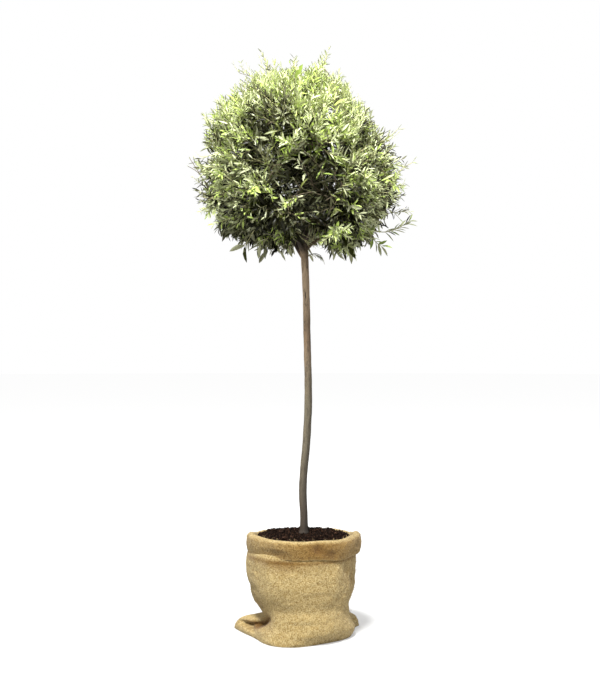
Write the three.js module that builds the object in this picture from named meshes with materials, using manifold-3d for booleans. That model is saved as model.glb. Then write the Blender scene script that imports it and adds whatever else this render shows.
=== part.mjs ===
// Standard olive tree: a clear stem with a round head of foliage, in a nursery pot stood in a burlap sack.
//
// Millimetres, +Z up. The origin is the centre of the sack's flat underside, and bearings are counted from
// +X towards +Y. Each bough ends where it enters a mass of foliage, and each mass keeps to its own cell of
// the head: the points that lie nearer to its middle than to any other mass's middle. Cells are convex, so
// a twig or leaf whose corners are all in its cell is clear of every other mass.

import * as THREE from "three";
import { mergeVertices } from "three/addons/utils/BufferGeometryUtils.js";
import Module from "manifold-3d";

const wasm = await Module();
wasm.setup();

const { degToRad, lerp, clamp, smoothstep } = THREE.MathUtils;
const TURN = 2 * Math.PI;
const GOLDEN_TURN = TURN * (1 - 1 / 1.618034);
const UP = new THREE.Vector3(0, 0, 1);

// ----------------------------------------------------------------------------------------------------
// Driving dimensions

const SEAT_GAP = 0.3; // left wherever two pieces touch

const pot = { floor: 86, rim: 116, lip: 2, lipHeight: 12, height: 237, wall: 2.5, sides: 24 };

const sack = {
  cloth: 3,
  sides: 36,
  // Mean radius of the wall's outside at each height, from the ground to under the cuff
  wall: [[0, 121], [8, 124.5], [24, 125], [40, 120], [58, 115.5], [80, 116], [104, 125.5], [130, 133],
    [162, 136], [207, 135], [246, 122.5]],
  // From one height to the other the wall comes to stand off the axis by lean, towards -X
  leanLow: 90,
  leanHigh: 130,
  lean: 5,
  // Its cloth hangs loose up to one height, and is held by the cuff from the other
  looseTo: 200,
  tightFrom: 240,
  // Where the cloth is drawn in between the pot's foot and the ground
  pinches: [
    { bearing: degToRad(180), height: 55, depth: 15, spread: degToRad(34), rise: 18 },
    { bearing: degToRad(5), height: 80, depth: 4, spread: degToRad(40), rise: 16 },
  ],
  // The two bottom corners, which lie on the ground as ears
  ears: [
    { bearing: degToRad(160), reach: 187, height: 41, spread: degToRad(27) },
    { bearing: degToRad(30), reach: 166, height: 36, spread: degToRad(21) },
  ],
  // Soft upright folds in the wall, which come in from foldLow to foldHigh
  foldDepth: 1.4,
  foldLow: 60,
  foldHigh: 110,
  foldTwist: 45,
  folds: 7,
  // Section of the turned-down cuff as [radius, height], from the wall's top round to the inside
  cuff: [[129.5, 251], [136.5, 245], [138.8, 206], [142.2, 205], [142.6, 230], [138.5, 251], [129, 255.5],
    [119.5, 250]],
  cuffWave: 2, // rise and fall of its hem
};

const soil = { edge: 113, edgeHeight: 245, crest: 252, seat: 16, crumb: 2.2, sides: 24 };

const trunk = {
  // [height, x, y] of the stem's middle, from the soil to the fork
  bends: [[252.3, 1, 0], [300, 1, 0], [345, -1.5, 2], [400, 0.5, 4], [490, 8, 4], [590, 12, 0], [735, 9, -4],
    [835, 7, -2], [935, 3.5, 0], [985, 1, 0]],
  // [height, radius]: the root flare, the taper, and the swelling under the fork
  taper: [[252.3, 12.5], [261, 10.6], [285, 10], [590, 9.7], [800, 8.3], [900, 8.4], [945, 10.5],
    [972, 12.5], [985, 9]],
  steps: 26,
  sides: 9,
};

const head = {
  middle: new THREE.Vector3(-4, 0, 1120), // of its widest part
  spread: 262,
  rise: 305,
  drop: 182,
  fullness: 2.35, // 2 would be an ellipsoid
  lean: -20, // how far its top stands off to +X
};

// Rings of foliage masses, from the lowest to the single one at the top. A ring's boughs leave the trunk
// from a height up, each by a step higher than the last, and arch up by a share of their length.
const massRings = [
  { name: "lower", count: 5, radius: 150, height: 1065, bearing: 18,
    bough: { from: 958, step: 7, radius: 5, arch: 0.1 } },
  { name: "upper", count: 4, radius: 124, height: 1232, bearing: 0,
    bough: { from: 972, step: 3, radius: 5, arch: 0.1 } },
  { name: "top", count: 1, radius: 14, height: 1350, bearing: 180,
    bough: { from: 980, step: 0, radius: 5.5, arch: 0 } },
];
const bough = { tipRadius: 3.2, intoCell: 14, shortest: 0.45, sides: 6, steps: 6 };
const stem = { tipRadius: 1.8, pastMiddle: 0.35, sides: 4, steps: 2 };
const cellMargin = 0.7;
const testSpacing = 4; // of the points at which limbs and twigs are tested for touching

const twig = {
  count: 66,
  reach: 0.7, // of the way to the head's outside, and the leaf at its end covers the rest
  jitter: 0.09,
  trunkRoom: 70, // none grow to the space round the trunk, under the head
  footRadius: 2.6,
  tipRadius: 1.7,
  inCell: 12,
  feet: [0.12, 0.25, 0.4, 0.55, 0.7, 0.85, 0.96], // places on the stem, of which the tip picks the nearest
  behind: 0.25, // how far back from there a twig starts, give or take
  nearestFoot: 0.1,
  forward: 0.14, // how far a twig bends along the stem
  sides: 3,
  steps: 2,
};

const leaf = {
  length: 100,
  width: 33,
  keel: 3.5,
  widest: 0.42,
  open: degToRad(40),
  sunk: 1, // how far past the twig's middle its root lies
  edge: 1.05, // no leaf passes this share of the way to the head's outside
  apart: 11,
  tested: [0.45, 0.75, 1], // places along it that keep that far from other leaves
  places: [0.44, 0.51, 0.72, 0.79], // along its twig, by twos on opposite sides
  turns: [0, 180, 90, 270].map(degToRad),
  trims: [1, 0.82, 0.66, 0.5], // sizes tried in turn, until it fits
  lift: { level: -60, most: 0.45 }, // leaves turn up above this level of the head, and down under it
  endPlace: 0.94,
  endSize: 0.85,
};

// Shoots that stand out of the head: their tips as bearing in degrees, reach and height
const strays = { thin: 0.8, leafSize: 0.6, endSize: 0.5 };
const strayTips = [
  { bearing: 160, reach: 106, height: 1420 },
  { bearing: 200, reach: 166, height: 1388 },
  { bearing: 215, reach: 30, height: 1406 },
  { bearing: 330, reach: 58, height: 1414 },
  { bearing: 20, reach: 150, height: 1334 },
  { bearing: 350, reach: 205, height: 1222 },
  { bearing: 12, reach: 238, height: 1158 },
  { bearing: 352, reach: 248, height: 1052 },
  { bearing: 176, reach: 262, height: 1132, bare: true },
  { bearing: 186, reach: 242, height: 1088 },
  { bearing: 170, reach: 218, height: 1292 },
];

const sideShoot = {
  height: 944,
  bearing: degToRad(-12),
  reach: 34,
  rise: 4,
  arch: 12,
  footRadius: 1.8,
  tipRadius: 1.2,
  leaves: 5,
  leafSize: 0.36,
  hang: 0.8,
  spread: 0.7,
};

// ----------------------------------------------------------------------------------------------------
// Helpers

/** A generator of numbers from 0 to 1 that always gives the same ones for the same seed. */
function seeded(seed) {
  let state = Math.imul(seed + 1, 0x9e3779b1) >>> 0;
  return () => {
    state = (state + 0x6d2b79f5) >>> 0;
    let mixed = Math.imul(state ^ (state >>> 15), state | 1);
    mixed ^= mixed + Math.imul(mixed ^ (mixed >>> 7), mixed | 61);
    return ((mixed ^ (mixed >>> 14)) >>> 0) / 4294967296;
  };
}

/** The value at a place in a table of [place, value] rows, straight between rows. */
function along(rows, place) {
  const next = rows.findIndex(([at]) => at >= place);
  if (next === 0) return rows[0][1];
  if (next < 0) return rows.at(-1)[1];
  const [from, low] = rows[next - 1];
  const [to, high] = rows[next];
  return lerp(low, high, (place - from) / (to - from));
}

const bell = (offset, width) => Math.exp(-((offset / width) ** 2));
const bearingGap = (a, b) => Math.abs(THREE.MathUtils.euclideanModulo(a - b + Math.PI, TURN) - Math.PI);

function polar(bearing, radius, height) {
  return new THREE.Vector3(radius * Math.cos(bearing), radius * Math.sin(bearing), height);
}

/** A closed mesh as a solid for joining and cutting. */
function solidOf(geometry) {
  const bare = geometry.clone().deleteAttribute("normal").deleteAttribute("uv");
  const merged = mergeVertices(bare, 1e-4);
  const vertProperties = new Float32Array(merged.attributes.position.array);
  const triVerts = new Uint32Array(merged.index.array);
  return new wasm.Manifold(new wasm.Mesh({ numProp: 3, vertProperties, triVerts }));
}

/** The largest body of a solid as a geometry, without the scraps that a cut may leave. */
function geometryOf(solid) {
  const bodies = solid.decompose().sort((a, b) => b.volume() - a.volume());
  const { vertProperties, triVerts } = bodies[0].getMesh();
  return new THREE.BufferGeometry()
    .setAttribute("position", new THREE.BufferAttribute(new Float32Array(vertProperties), 3))
    .setIndex(new THREE.BufferAttribute(new Uint32Array(triVerts), 1));
}

/** Moves each vertex of a geometry to the place that a function gives for it and its index. */
function reshape(geometry, place) {
  const position = geometry.attributes.position;
  const vertex = new THREE.Vector3();
  for (let index = 0; index < position.count; index++) {
    place(vertex.fromBufferAttribute(position, index), index);
    position.setXYZ(index, vertex.x, vertex.y, vertex.z);
  }
  return geometry;
}

/** A body of revolution about Z from [radius, height] pairs, which start and end on the axis. */
function turned(profile, sides) {
  const points = profile.map(([radius, height]) => new THREE.Vector2(radius, height));
  return new THREE.LatheGeometry(points, sides).rotateX(Math.PI / 2);
}

/** A round limb along a curve, with its radius from a function of the share of its length. */
function limbAlong(curve, radiusAt, sides, steps, upright = false) {
  const { normals, binormals } = curve.computeFrenetFrames(steps, false);
  const geometry = new THREE.CylinderGeometry(1, 1, 1, sides, steps);
  return reshape(geometry, (vertex) => {
    const step = Math.round((vertex.y + 0.5) * steps);
    const radius = radiusAt(step / steps);
    const across = upright ? new THREE.Vector3(0, -1, 0) : normals[step];
    const aside = upright ? new THREE.Vector3(1, 0, 0) : binormals[step];
    const { x, z } = vertex;
    vertex.copy(curve.getPointAt(step / steps));
    vertex.addScaledVector(aside, x * radius).addScaledVector(across, z * radius);
  });
}

// ----------------------------------------------------------------------------------------------------
// Pot, soil and sack

const potFoot = sack.cloth + SEAT_GAP;
const potTop = potFoot + pot.height;

function potGeometry() {
  const under = potTop - pot.lipHeight;
  const slope = (pot.rim - pot.floor) / pot.height;
  const outer = (height) => pot.floor + slope * (height - potFoot);
  return turned([
    [0, potFoot], [outer(potFoot), potFoot], [outer(under), under], [outer(under) + pot.lip, under],
    [pot.rim + pot.lip, potTop], [pot.rim - pot.wall, potTop], [pot.floor - pot.wall, potFoot + pot.wall],
    [0, potFoot + pot.wall],
  ], pot.sides);
}

/** Fills the pot, and stands above its brim as a crumbly mound with a level seat for the stem. */
function soilGeometry() {
  const random = seeded(7);
  const foot = potFoot + pot.wall + SEAT_GAP;
  const inner = (height) => lerp(pot.floor, pot.rim, (height - potFoot) / pot.height) - pot.wall - SEAT_GAP;
  const mound = [0.97, 0.86, 0.7, 0.52, 0.34].map((share) => {
    const rise = Math.sqrt(1 - share ** 3);
    return [soil.edge * share, lerp(soil.edgeHeight, soil.crest, rise)];
  });
  const profile = [
    [0, foot], [inner(foot) - 1, foot], [inner(potTop) - 0.5, potTop], [soil.edge, soil.edgeHeight], ...mound,
    [soil.seat, soil.crest], [0, soil.crest],
  ];
  const crumbled = mound.map((_, index) => 4 + index);
  const lift = Array.from({ length: soil.sides * profile.length }, () => (random() - 0.7) * soil.crumb);
  return reshape(turned(profile, soil.sides), (vertex, index) => {
    if (crumbled.includes(index % profile.length)) vertex.z += lift[index % lift.length];
  });
}

/** How far the wall's outside stands from the axis, without the ears. */
function wallShape(height, bearing) {
  const pinched = sack.pinches.map((pinch) => {
    const aside = bearingGap(bearing, pinch.bearing);
    return pinch.depth * bell(aside, pinch.spread) * bell(height - pinch.height, pinch.rise);
  });
  const underCuff = 1 - smoothstep(height, sack.looseTo, sack.tightFrom);
  const lean = sack.lean * smoothstep(height, sack.leanLow, sack.leanHigh) * underCuff;
  const free = smoothstep(height, sack.foldLow, sack.foldHigh) * underCuff;
  const fold = sack.foldDepth * free * Math.sin(sack.folds * bearing + height / sack.foldTwist);
  return fold - pinched[0] - pinched[1] - lean * Math.cos(bearing);
}

/** How far the ears stand out past the wall. */
function earShape(height, bearing, wall) {
  return Math.max(0, ...sack.ears.map((ear) => {
    const narrow = Math.max(0, 1 - bearingGap(bearing, ear.bearing) / ear.spread);
    const low = Math.sqrt(Math.max(0, 1 - (height / ear.height) ** 2));
    return (ear.reach - wall) * narrow ** 1.25 * low;
  }));
}

/** A bag round the pot: its wall, its flat bottom with two ears, and its top turned down as a cuff. */
function sackGeometry() {
  const outer = sack.wall.map(([height, radius]) => ({ radius, height, ears: true, wall: true }));
  const cuff = sack.cuff.map(([radius, height]) => ({ radius, height, wave: true }));
  const inner = sack.wall.filter(([height]) => height > 30).reverse()
    .map(([height, radius]) => ({ radius: radius - sack.cloth, height, wall: true }));
  const points = [
    { radius: 0, height: 0 }, { radius: 60, height: 0 }, ...outer, ...cuff, ...inner,
    { radius: 116, height: sack.cloth }, { radius: 0, height: sack.cloth },
  ];
  const lowest = Math.min(...sack.cuff.map(([, height]) => height));
  const geometry = turned(points.map(({ radius, height }) => [radius, height]), sack.sides);
  return reshape(geometry, (vertex, index) => {
    const { radius, height, wall, ears, wave } = points[index % points.length];
    const bearing = Math.atan2(vertex.y, vertex.x);
    let reach = radius;
    if (wall) reach += wallShape(height, bearing);
    if (ears) reach += earShape(height, bearing, reach);
    if (radius > 0) vertex.setX(reach * Math.cos(bearing)).setY(reach * Math.sin(bearing));
    if (wave) vertex.z += sack.cuffWave * Math.sin(2 * bearing + 1) * smoothstep(-height, -250, -lowest);
  });
}

// ----------------------------------------------------------------------------------------------------
// Trunk and boughs

const trunkCurve = new THREE.CatmullRomCurve3(
  trunk.bends.map(([height, x, y]) => new THREE.Vector3(x, y, height)),
);

/** The stem from its flat cut at the soil to its fork, with grow added to its radius for cutting seats. */
function trunkGeometry(grow = 0) {
  const radiusAt = (share) => along(trunk.taper, trunkCurve.getPointAt(share).z) + grow;
  return limbAlong(trunkCurve, radiusAt, trunk.sides, trunk.steps, true);
}

function trunkAt(height) {
  const [foot, fork] = [trunk.bends[0][0], trunk.bends.at(-1)[0]];
  const share = (height - foot) / (fork - foot);
  return trunkCurve.getPointAt(clamp(share, 0, 1));
}

const masses = massRings.flatMap((ring) => Array.from({ length: ring.count }, (_, index) => {
  const bearing = degToRad(ring.bearing) + (TURN * index) / ring.count;
  const middle = polar(bearing, ring.radius, ring.height);
  middle.x += head.middle.x;
  return { name: `${ring.name}_${index + 1}`, ring, index, bearing, middle };
}));

/** How far a point lies inside a mass's cell. */
function depthInCell(point, mass) {
  return Math.min(...masses.filter((other) => other !== mass).map((other) => {
    const across = other.middle.clone().sub(mass.middle).normalize();
    const border = other.middle.clone().add(mass.middle).multiplyScalar(0.5);
    return border.sub(point).dot(across);
  }));
}

/** A bough's line, from inside the trunk to the place where it enters its mass. */
function boughCurve(mass) {
  const { from, step, arch } = mass.ring.bough;
  const foot = trunkAt(from + step * mass.index);
  const tip = foot.clone().lerp(mass.middle, bough.shortest);
  while (depthInCell(tip, mass) < bough.intoCell) tip.lerp(mass.middle, 0.04);
  const bend = foot.clone().lerp(tip, 0.45).addScaledVector(UP, arch * foot.distanceTo(tip));
  return new THREE.QuadraticBezierCurve3(foot, bend, tip);
}

const boughRadius = (mass, share) => lerp(mass.ring.bough.radius, bough.tipRadius, share);

function boughGeometry(mass, grow = 0) {
  return limbAlong(mass.bough, (share) => boughRadius(mass, share) + grow, bough.sides, bough.steps);
}

masses.forEach((mass) => {
  mass.bough = boughCurve(mass);
});

/** Each bough, seated against the trunk and against the boughs made before it. */
function boughSolids() {
  let taken = solidOf(trunkGeometry(SEAT_GAP));
  return masses.map((mass) => {
    const seated = solidOf(boughGeometry(mass)).subtract(taken);
    taken = taken.add(solidOf(boughGeometry(mass, SEAT_GAP)));
    return seated;
  });
}

// ----------------------------------------------------------------------------------------------------
// Foliage

/** The point on the head's outside in a direction given on the unit sphere. */
function headSurface(direction, scale = 1) {
  const { fullness, spread, rise, drop, middle, lean } = head;
  const flat = Math.hypot(direction.x, direction.y);
  const fill = scale * (flat ** fullness + Math.abs(direction.z) ** fullness) ** (-1 / fullness);
  const tall = direction.z > 0 ? rise : drop;
  return new THREE.Vector3(
    middle.x + direction.x * fill * spread + lean * direction.z * fill,
    middle.y + direction.y * fill * spread,
    middle.z + direction.z * fill * tall,
  );
}

/** How far out a point lies, as a share of the way from the head's middle to its outside. */
function shareOfHead(point) {
  const offset = point.clone().sub(head.middle);
  const tall = offset.z > 0 ? head.rise : head.drop;
  const height = offset.z / tall;
  const flat = Math.hypot(offset.x - head.lean * height, offset.y) / head.spread;
  return (flat ** head.fullness + Math.abs(height) ** head.fullness) ** (1 / head.fullness);
}

/** The mass whose cell holds a point. */
function massAt(point) {
  return masses.reduce((near, mass) =>
    mass.middle.distanceTo(point) < near.middle.distanceTo(point) ? mass : near);
}

/** The tips that the head's twigs grow to, spread evenly over it, and then the stray shoots' tips. */
function twigTips() {
  const tips = [];
  for (let number = 0; number < twig.count; number++) {
    const random = seeded(100 + number);
    const z = 1 - (2 * (number + 0.5)) / twig.count;
    const direction = polar(number * GOLDEN_TURN, Math.sqrt(1 - z * z), z);
    const tip = headSurface(direction, twig.reach + twig.jitter * random());
    const isUnderHead = Math.hypot(tip.x, tip.y) < twig.trunkRoom && tip.z < head.middle.z;
    if (!isUnderHead) tips.push({ tip, random });
  }
  strayTips.forEach((stray, index) => {
    const tip = polar(degToRad(stray.bearing), stray.reach, stray.height);
    tips.push({ tip, random: seeded(100 + twig.count + index), stray });
  });
  return tips;
}

/** The line of a mass's stem, which runs on from its bough's tip. */
function stemCurve(mass) {
  const tip = mass.bough.getPoint(1);
  const forward = mass.bough.getTangent(1);
  const foot = tip.clone().addScaledVector(forward, SEAT_GAP);
  const outward = mass.middle.clone().sub(head.middle).normalize();
  const end = mass.middle.clone().lerp(headSurface(outward), stem.pastMiddle);
  const bend = foot.clone().addScaledVector(forward, 0.5 * foot.distanceTo(end));
  return new THREE.QuadraticBezierCurve3(foot, bend, end);
}

/** A twig's line, from a place on its mass's stem round to its tip, or to as near it as fits the cell. */
function twigCurve(mass, target, random) {
  const tip = target.clone();
  while (depthInCell(tip, mass) < twig.inCell) tip.lerp(mass.middle, 0.1);
  const far = (share) => mass.stem.getPoint(share).distanceTo(tip);
  const nearest = twig.feet.reduce((best, share) => (far(share) < far(best) ? share : best));
  const share = Math.max(twig.nearestFoot, nearest - twig.behind - 0.1 * random());
  const foot = mass.stem.getPoint(share);
  const bend = foot.clone().lerp(tip, 0.45)
    .addScaledVector(mass.stem.getTangent(share), twig.forward * foot.distanceTo(tip));
  return new THREE.QuadraticBezierCurve3(foot, bend, tip);
}

/** Points along the limbs, each with the radius that foliage keeps clear of. */
function limbPoints() {
  const points = [];
  const trace = (curve, radiusAt) => {
    const steps = Math.ceil(curve.getLength() / testSpacing);
    for (let step = 0; step <= steps; step++) {
      points.push({ at: curve.getPoint(step / steps), radius: radiusAt(step / steps) });
    }
  };
  const thickest = Math.max(...trunk.taper.map(([, radius]) => radius));
  trace(trunkCurve, () => thickest);
  masses.forEach((mass) => trace(mass.bough, (share) => boughRadius(mass, share)));
  const { bearing, reach, height } = sideShoot;
  points.push({ at: polar(bearing, reach / 2, height), radius: reach });
  return points;
}

/** How steeply the leaves at a place turn up, or down if less than 0. */
function liftAt(point) {
  const { level, most } = leaf.lift;
  return clamp((point.z - head.middle.z - level) / head.rise, -most, most);
}

/** The corners of one leaf: its root, its two sides and its tip. */
function leafCorners(root, forward, size) {
  const outward = root.clone().sub(head.middle).normalize().add(UP);
  const aside = new THREE.Vector3().crossVectors(forward, outward).normalize();
  const face = new THREE.Vector3().crossVectors(aside, forward);
  const place = (share, wide, high) => root.clone()
    .addScaledVector(forward, share * leaf.length * size)
    .addScaledVector(aside, wide * leaf.width * size)
    .addScaledVector(face, high * size);
  const { widest, keel } = leaf;
  return [place(0, 0, 0), place(widest, 0.5, keel), place(widest, -0.5, keel), place(1, 0, 0)];
}

/** A leaf with a keel under it from root to tip, which it is folded up from. */
function leafSolid(corners) {
  const faces = [0, 3, 1, 0, 2, 3, 0, 1, 2, 3, 2, 1];
  return solidOf(new THREE.BufferGeometry().setFromPoints(corners).setIndex(faces));
}

/** Whether a leaf keeps to its cell and the head's outline, and clear of the limbs and other leaves. */
function leafFits(corners, mass, limbs, leaves, isStray) {
  const spine = new THREE.Line3(corners[0], corners[3]);
  const nearest = new THREE.Vector3();
  const apart = (line, point) => line.closestPointToPoint(point, true, nearest).distanceTo(point);
  const tested = leaf.tested.map((share) => spine.at(share, new THREE.Vector3()));
  return corners.every((corner) => depthInCell(corner, mass) > cellMargin)
    && (isStray || shareOfHead(corners[3]) < leaf.edge)
    && limbs.every(({ at, radius }) => apart(spine, at) > radius + leaf.width / 2)
    && leaves.every((other) => tested.every((point) => apart(other, point) > leaf.apart));
}

/** The corners of one twig's leaves: four along it on its four sides and one at its end, where they fit. */
function leavesOn(curve, random, stray, fits) {
  const leaves = [];
  const grow = (root, forward, size) => {
    const fitting = leaf.trims.map((trim) => leafCorners(root, forward, size * trim)).find(fits);
    if (fitting) leaves.push(fitting);
  };
  const turn = TURN * random();
  leaf.places.forEach((share, order) => {
    const size = (stray ? strays.leafSize : 1) * (0.85 + 0.3 * random());
    if (stray?.bare) return;
    const tangent = curve.getTangent(share);
    const side = new THREE.Vector3().crossVectors(tangent, UP).normalize();
    side.applyAxisAngle(tangent, turn + leaf.turns[order]);
    const root = curve.getPoint(share).addScaledVector(side, -leaf.sunk);
    const forward = tangent.multiplyScalar(Math.cos(leaf.open)).addScaledVector(side, Math.sin(leaf.open));
    grow(root, forward.addScaledVector(UP, liftAt(root)).normalize(), size);
  });
  const end = curve.getPoint(leaf.endPlace);
  const onward = curve.getTangent(1).addScaledVector(UP, liftAt(end) / 2).normalize();
  grow(end, onward, stray ? strays.endSize : leaf.endSize);
  return leaves;
}

/** One mass: its stem, its twigs and their leaves, fused. A twig that would touch a limb is left out. */
function massSolid(mass, tips, limbs) {
  const stemRadius = (share) => lerp(bough.tipRadius, stem.tipRadius, share);
  const parts = [solidOf(limbAlong(mass.stem, stemRadius, stem.sides, stem.steps))];
  const spines = [];
  const entry = mass.bough.getPoint(1);
  const others = limbs.filter(({ at }) => at.distanceTo(entry) > bough.intoCell);
  const room = twig.footRadius + testSpacing / 2;
  tips.filter(({ tip }) => massAt(tip) === mass).forEach(({ tip, random, stray }) => {
    const curve = twigCurve(mass, tip, random);
    const tested = curve.getSpacedPoints(Math.ceil(curve.getLength() / testSpacing));
    const keepsToCell = [curve.v0, curve.v1, curve.v2].every((point) => depthInCell(point, mass) > room);
    const isClear = tested.every((point) =>
      others.every(({ at, radius }) => at.distanceTo(point) > radius + room));
    if (!keepsToCell || !isClear) return;
    const thin = stray ? strays.thin : 1;
    const radiusAt = (share) => thin * lerp(twig.footRadius, twig.tipRadius, share);
    parts.push(solidOf(limbAlong(curve, radiusAt, twig.sides, twig.steps)));
    const fits = (corners) => {
      const fit = leafFits(corners, mass, limbs, spines, Boolean(stray));
      if (fit) spines.push(new THREE.Line3(corners[0], corners[3]));
      return fit;
    };
    parts.push(...leavesOn(curve, random, stray, fits).map(leafSolid));
  });
  return wasm.Manifold.union(parts);
}

/** The small leafy shoot on the stem, just under the fork. */
function sideShootSolid() {
  const { height, bearing, reach, rise, arch, footRadius, tipRadius, leaves } = sideShoot;
  const outward = polar(bearing, 1, 0);
  const foot = trunkAt(height).addScaledVector(outward, along(trunk.taper, height) - footRadius);
  const tip = foot.clone().addScaledVector(outward, reach).setZ(height + rise);
  const bend = foot.clone().lerp(tip, 0.5).addScaledVector(UP, arch);
  const curve = new THREE.QuadraticBezierCurve3(foot, bend, tip);
  const radiusAt = (share) => lerp(footRadius, tipRadius, share);
  const parts = [solidOf(limbAlong(curve, radiusAt, twig.sides, twig.steps))];
  for (let number = 0; number < leaves; number++) {
    const share = lerp(0.45, 0.95, number / (leaves - 1));
    const forward = curve.getTangent(share).addScaledVector(UP, -sideShoot.hang);
    forward.applyAxisAngle(UP, number % 2 ? sideShoot.spread : -sideShoot.spread).normalize();
    parts.push(leafSolid(leafCorners(curve.getPoint(share), forward, sideShoot.leafSize)));
  }
  return wasm.Manifold.union(parts).subtract(solidOf(trunkGeometry(SEAT_GAP)));
}

masses.forEach((mass) => {
  mass.stem = stemCurve(mass);
});

// ----------------------------------------------------------------------------------------------------
// Materials and assembly

const finish = (color, roughness) => new THREE.MeshStandardMaterial({ color, roughness, metalness: 0 });
const materials = {
  burlap: finish(0xb89b60, 0.95),
  potPlastic: finish(0x1c1b1a, 0.6),
  soil: finish(0x241a16, 1),
  bark: finish(0x7a6a55, 0.9),
  foliage: finish(0x76853f, 0.6),
};

function named(name, geometry, material) {
  const mesh = new THREE.Mesh(geometry, material);
  mesh.name = name;
  return mesh;
}

const tree = new THREE.Group();
tree.add(
  named("sack", sackGeometry(), materials.burlap),
  named("pot", potGeometry(), materials.potPlastic),
  named("soil", soilGeometry(), materials.soil),
  named("trunk", trunkGeometry(), materials.bark),
);
boughSolids().forEach((solid, index) => {
  tree.add(named(`bough_${masses[index].name}`, geometryOf(solid), materials.bark));
});
const tips = twigTips();
const limbs = limbPoints();
masses.forEach((mass) => {
  tree.add(named(`foliage_${mass.name}`, geometryOf(massSolid(mass, tips, limbs)), materials.foliage));
});
tree.add(named("side_shoot", geometryOf(sideShootSolid()), materials.foliage));

export default tree;
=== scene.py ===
import math
from itertools import combinations
from types import SimpleNamespace

import bpy
import numpy as np
from bpy.props import FloatProperty, FloatVectorProperty, IntProperty, PointerProperty
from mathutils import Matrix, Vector, noise


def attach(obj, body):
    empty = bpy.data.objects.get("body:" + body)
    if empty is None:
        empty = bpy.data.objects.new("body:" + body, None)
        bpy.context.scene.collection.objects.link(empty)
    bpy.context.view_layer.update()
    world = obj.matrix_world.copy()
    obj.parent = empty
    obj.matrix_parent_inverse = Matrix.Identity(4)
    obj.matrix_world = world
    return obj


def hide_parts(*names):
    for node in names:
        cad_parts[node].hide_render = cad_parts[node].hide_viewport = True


bl_info = {
    "name": "Potted Olive Tree",
    "version": (1, 0, 0),
    "blender": (4, 5, 0),
    "location": "3D View > Sidebar > Olive",
    "description": "Dresses a standard olive tree in a burlap sack: bark, twigs, leaves, compost and cloth",
    "category": "Object",
}

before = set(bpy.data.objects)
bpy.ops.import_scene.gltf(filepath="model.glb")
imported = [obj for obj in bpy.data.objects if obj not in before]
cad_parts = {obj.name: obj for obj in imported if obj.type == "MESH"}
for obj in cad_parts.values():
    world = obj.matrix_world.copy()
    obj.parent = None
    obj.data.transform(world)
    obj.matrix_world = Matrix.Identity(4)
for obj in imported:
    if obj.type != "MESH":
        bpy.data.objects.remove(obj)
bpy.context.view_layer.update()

UP = np.array((0.0, 0.0, 1.0))
TURN = 2 * math.pi
GOLDEN_TURN = TURN * (1 - 1 / 1.618034)
SEAT_GAP = 0.0003


def tone(*levels):
    """A colour from its red, green and blue screen values, 0 to 255, as the values that shaders take."""
    return tuple(((c / 255 + 0.055) / 1.055) ** 2.4 if c > 10 else c / 255 / 12.92 for c in levels)


# ---------------------------------------------------------------------------------------------------
# Settings


def plain_number(name, description, default, **more):
    return FloatProperty(name=name, description=description, default=default, **more)


def length(name, description, default, **more):
    return plain_number(name, description, default, subtype="DISTANCE", **more)


def whole_number(name, description, default, least=0):
    return IntProperty(name=name, description=description, default=default, min=least)


def colour(name, description, default):
    return FloatVectorProperty(
        name=name, description=description, default=tone(*default), size=3, min=0, max=1, subtype="COLOR")


class OliveHeadSettings(bpy.types.PropertyGroup):
    """The leafy head: its outline, its shoots and its leaves."""

    spread: length("Spread", "From the head's middle to its outside, sideways", 0.262)
    rise: length("Rise", "From the head's widest level to its top", 0.305)
    drop: length("Drop", "From the head's widest level to its underside", 0.182)
    fullness: plain_number("Fullness", "2 is an ellipsoid, more is boxier", 2.35)
    lean: length("Lean", "How far the top stands off to the right", -0.02)
    shoots: whole_number("Shoots", "Side shoots on each twig", 11, 1)
    side_twigs: whole_number("Side twigs", "Finer twigs on each twig", 4)
    upright_leaf: length("Upright leaf", "Mean leaf length on upright shoots", 0.031)
    flush_leaf: length("Flush leaf", "Mean leaf length on new short shoots", 0.018)
    grown_leaf: length("Grown leaf", "Mean leaf length on older shoots", 0.0325)
    hanging_leaf: length("Hanging leaf", "Mean leaf length on the underside's shoots", 0.041)
    lime: colour("Lime", "Newest leaves", (214, 223, 170))
    fresh: colour("Fresh", "Young leaves", (180, 200, 104))
    leafy: colour("Leaf green", "Half-grown leaves", (132, 152, 66))
    olive: colour("Olive", "Grown leaves in the light", (116, 124, 64))
    grey: colour("Grey green", "Grown leaves with a dull face", (158, 162, 126))
    # Deep, dark and the dull undersides are partly old leaves and partly painted shade of the head's inside
    # and underside
    deep: colour("Deep green", "Old leaves", (50, 54, 17))
    dark: colour("Dark green", "Old leaves of the inside", (25, 25, 5))
    silver: colour("Silver", "Undersides of grown leaves", (164, 165, 132))
    dull: colour("Dull silver", "Undersides of old leaves", (112, 112, 82))
    pale: colour("Pale lime", "Undersides of young leaves", (218, 224, 174))
    twig_bark: colour("Twig bark", "Older twigs", (116, 104, 80))
    shoot_bark: colour("Shoot bark", "New shoots", (198, 194, 140))


class OliveWoodSettings(bpy.types.PropertyGroup):
    """The trunk and boughs."""

    voxel: length("Mesh size", "Size of the mesh's cells", 0.0016, precision=4)
    relief: length("Bark relief", "Depth of the furrows in the bark", 0.00045, precision=5)
    grey: colour("Grey", "Weathered bark", (116, 107, 87))
    brown: colour("Brown", "Young bark", (138, 114, 88))
    # Painted light: bark a hand below the fork, lightened where the head's shade falls on it
    painted_fork_light: colour("Painted light below the fork", "Bark a hand below the fork", (216, 188, 156))
    foot: colour("Foot", "Damp bark by the compost", (72, 62, 52))
    # This dark colour serves both the bark's furrows and painted shade under the leaves round the fork
    dark: colour("Furrow and painted shade", "Bark in the furrows and under the leaves", (50, 42, 34))


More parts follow.
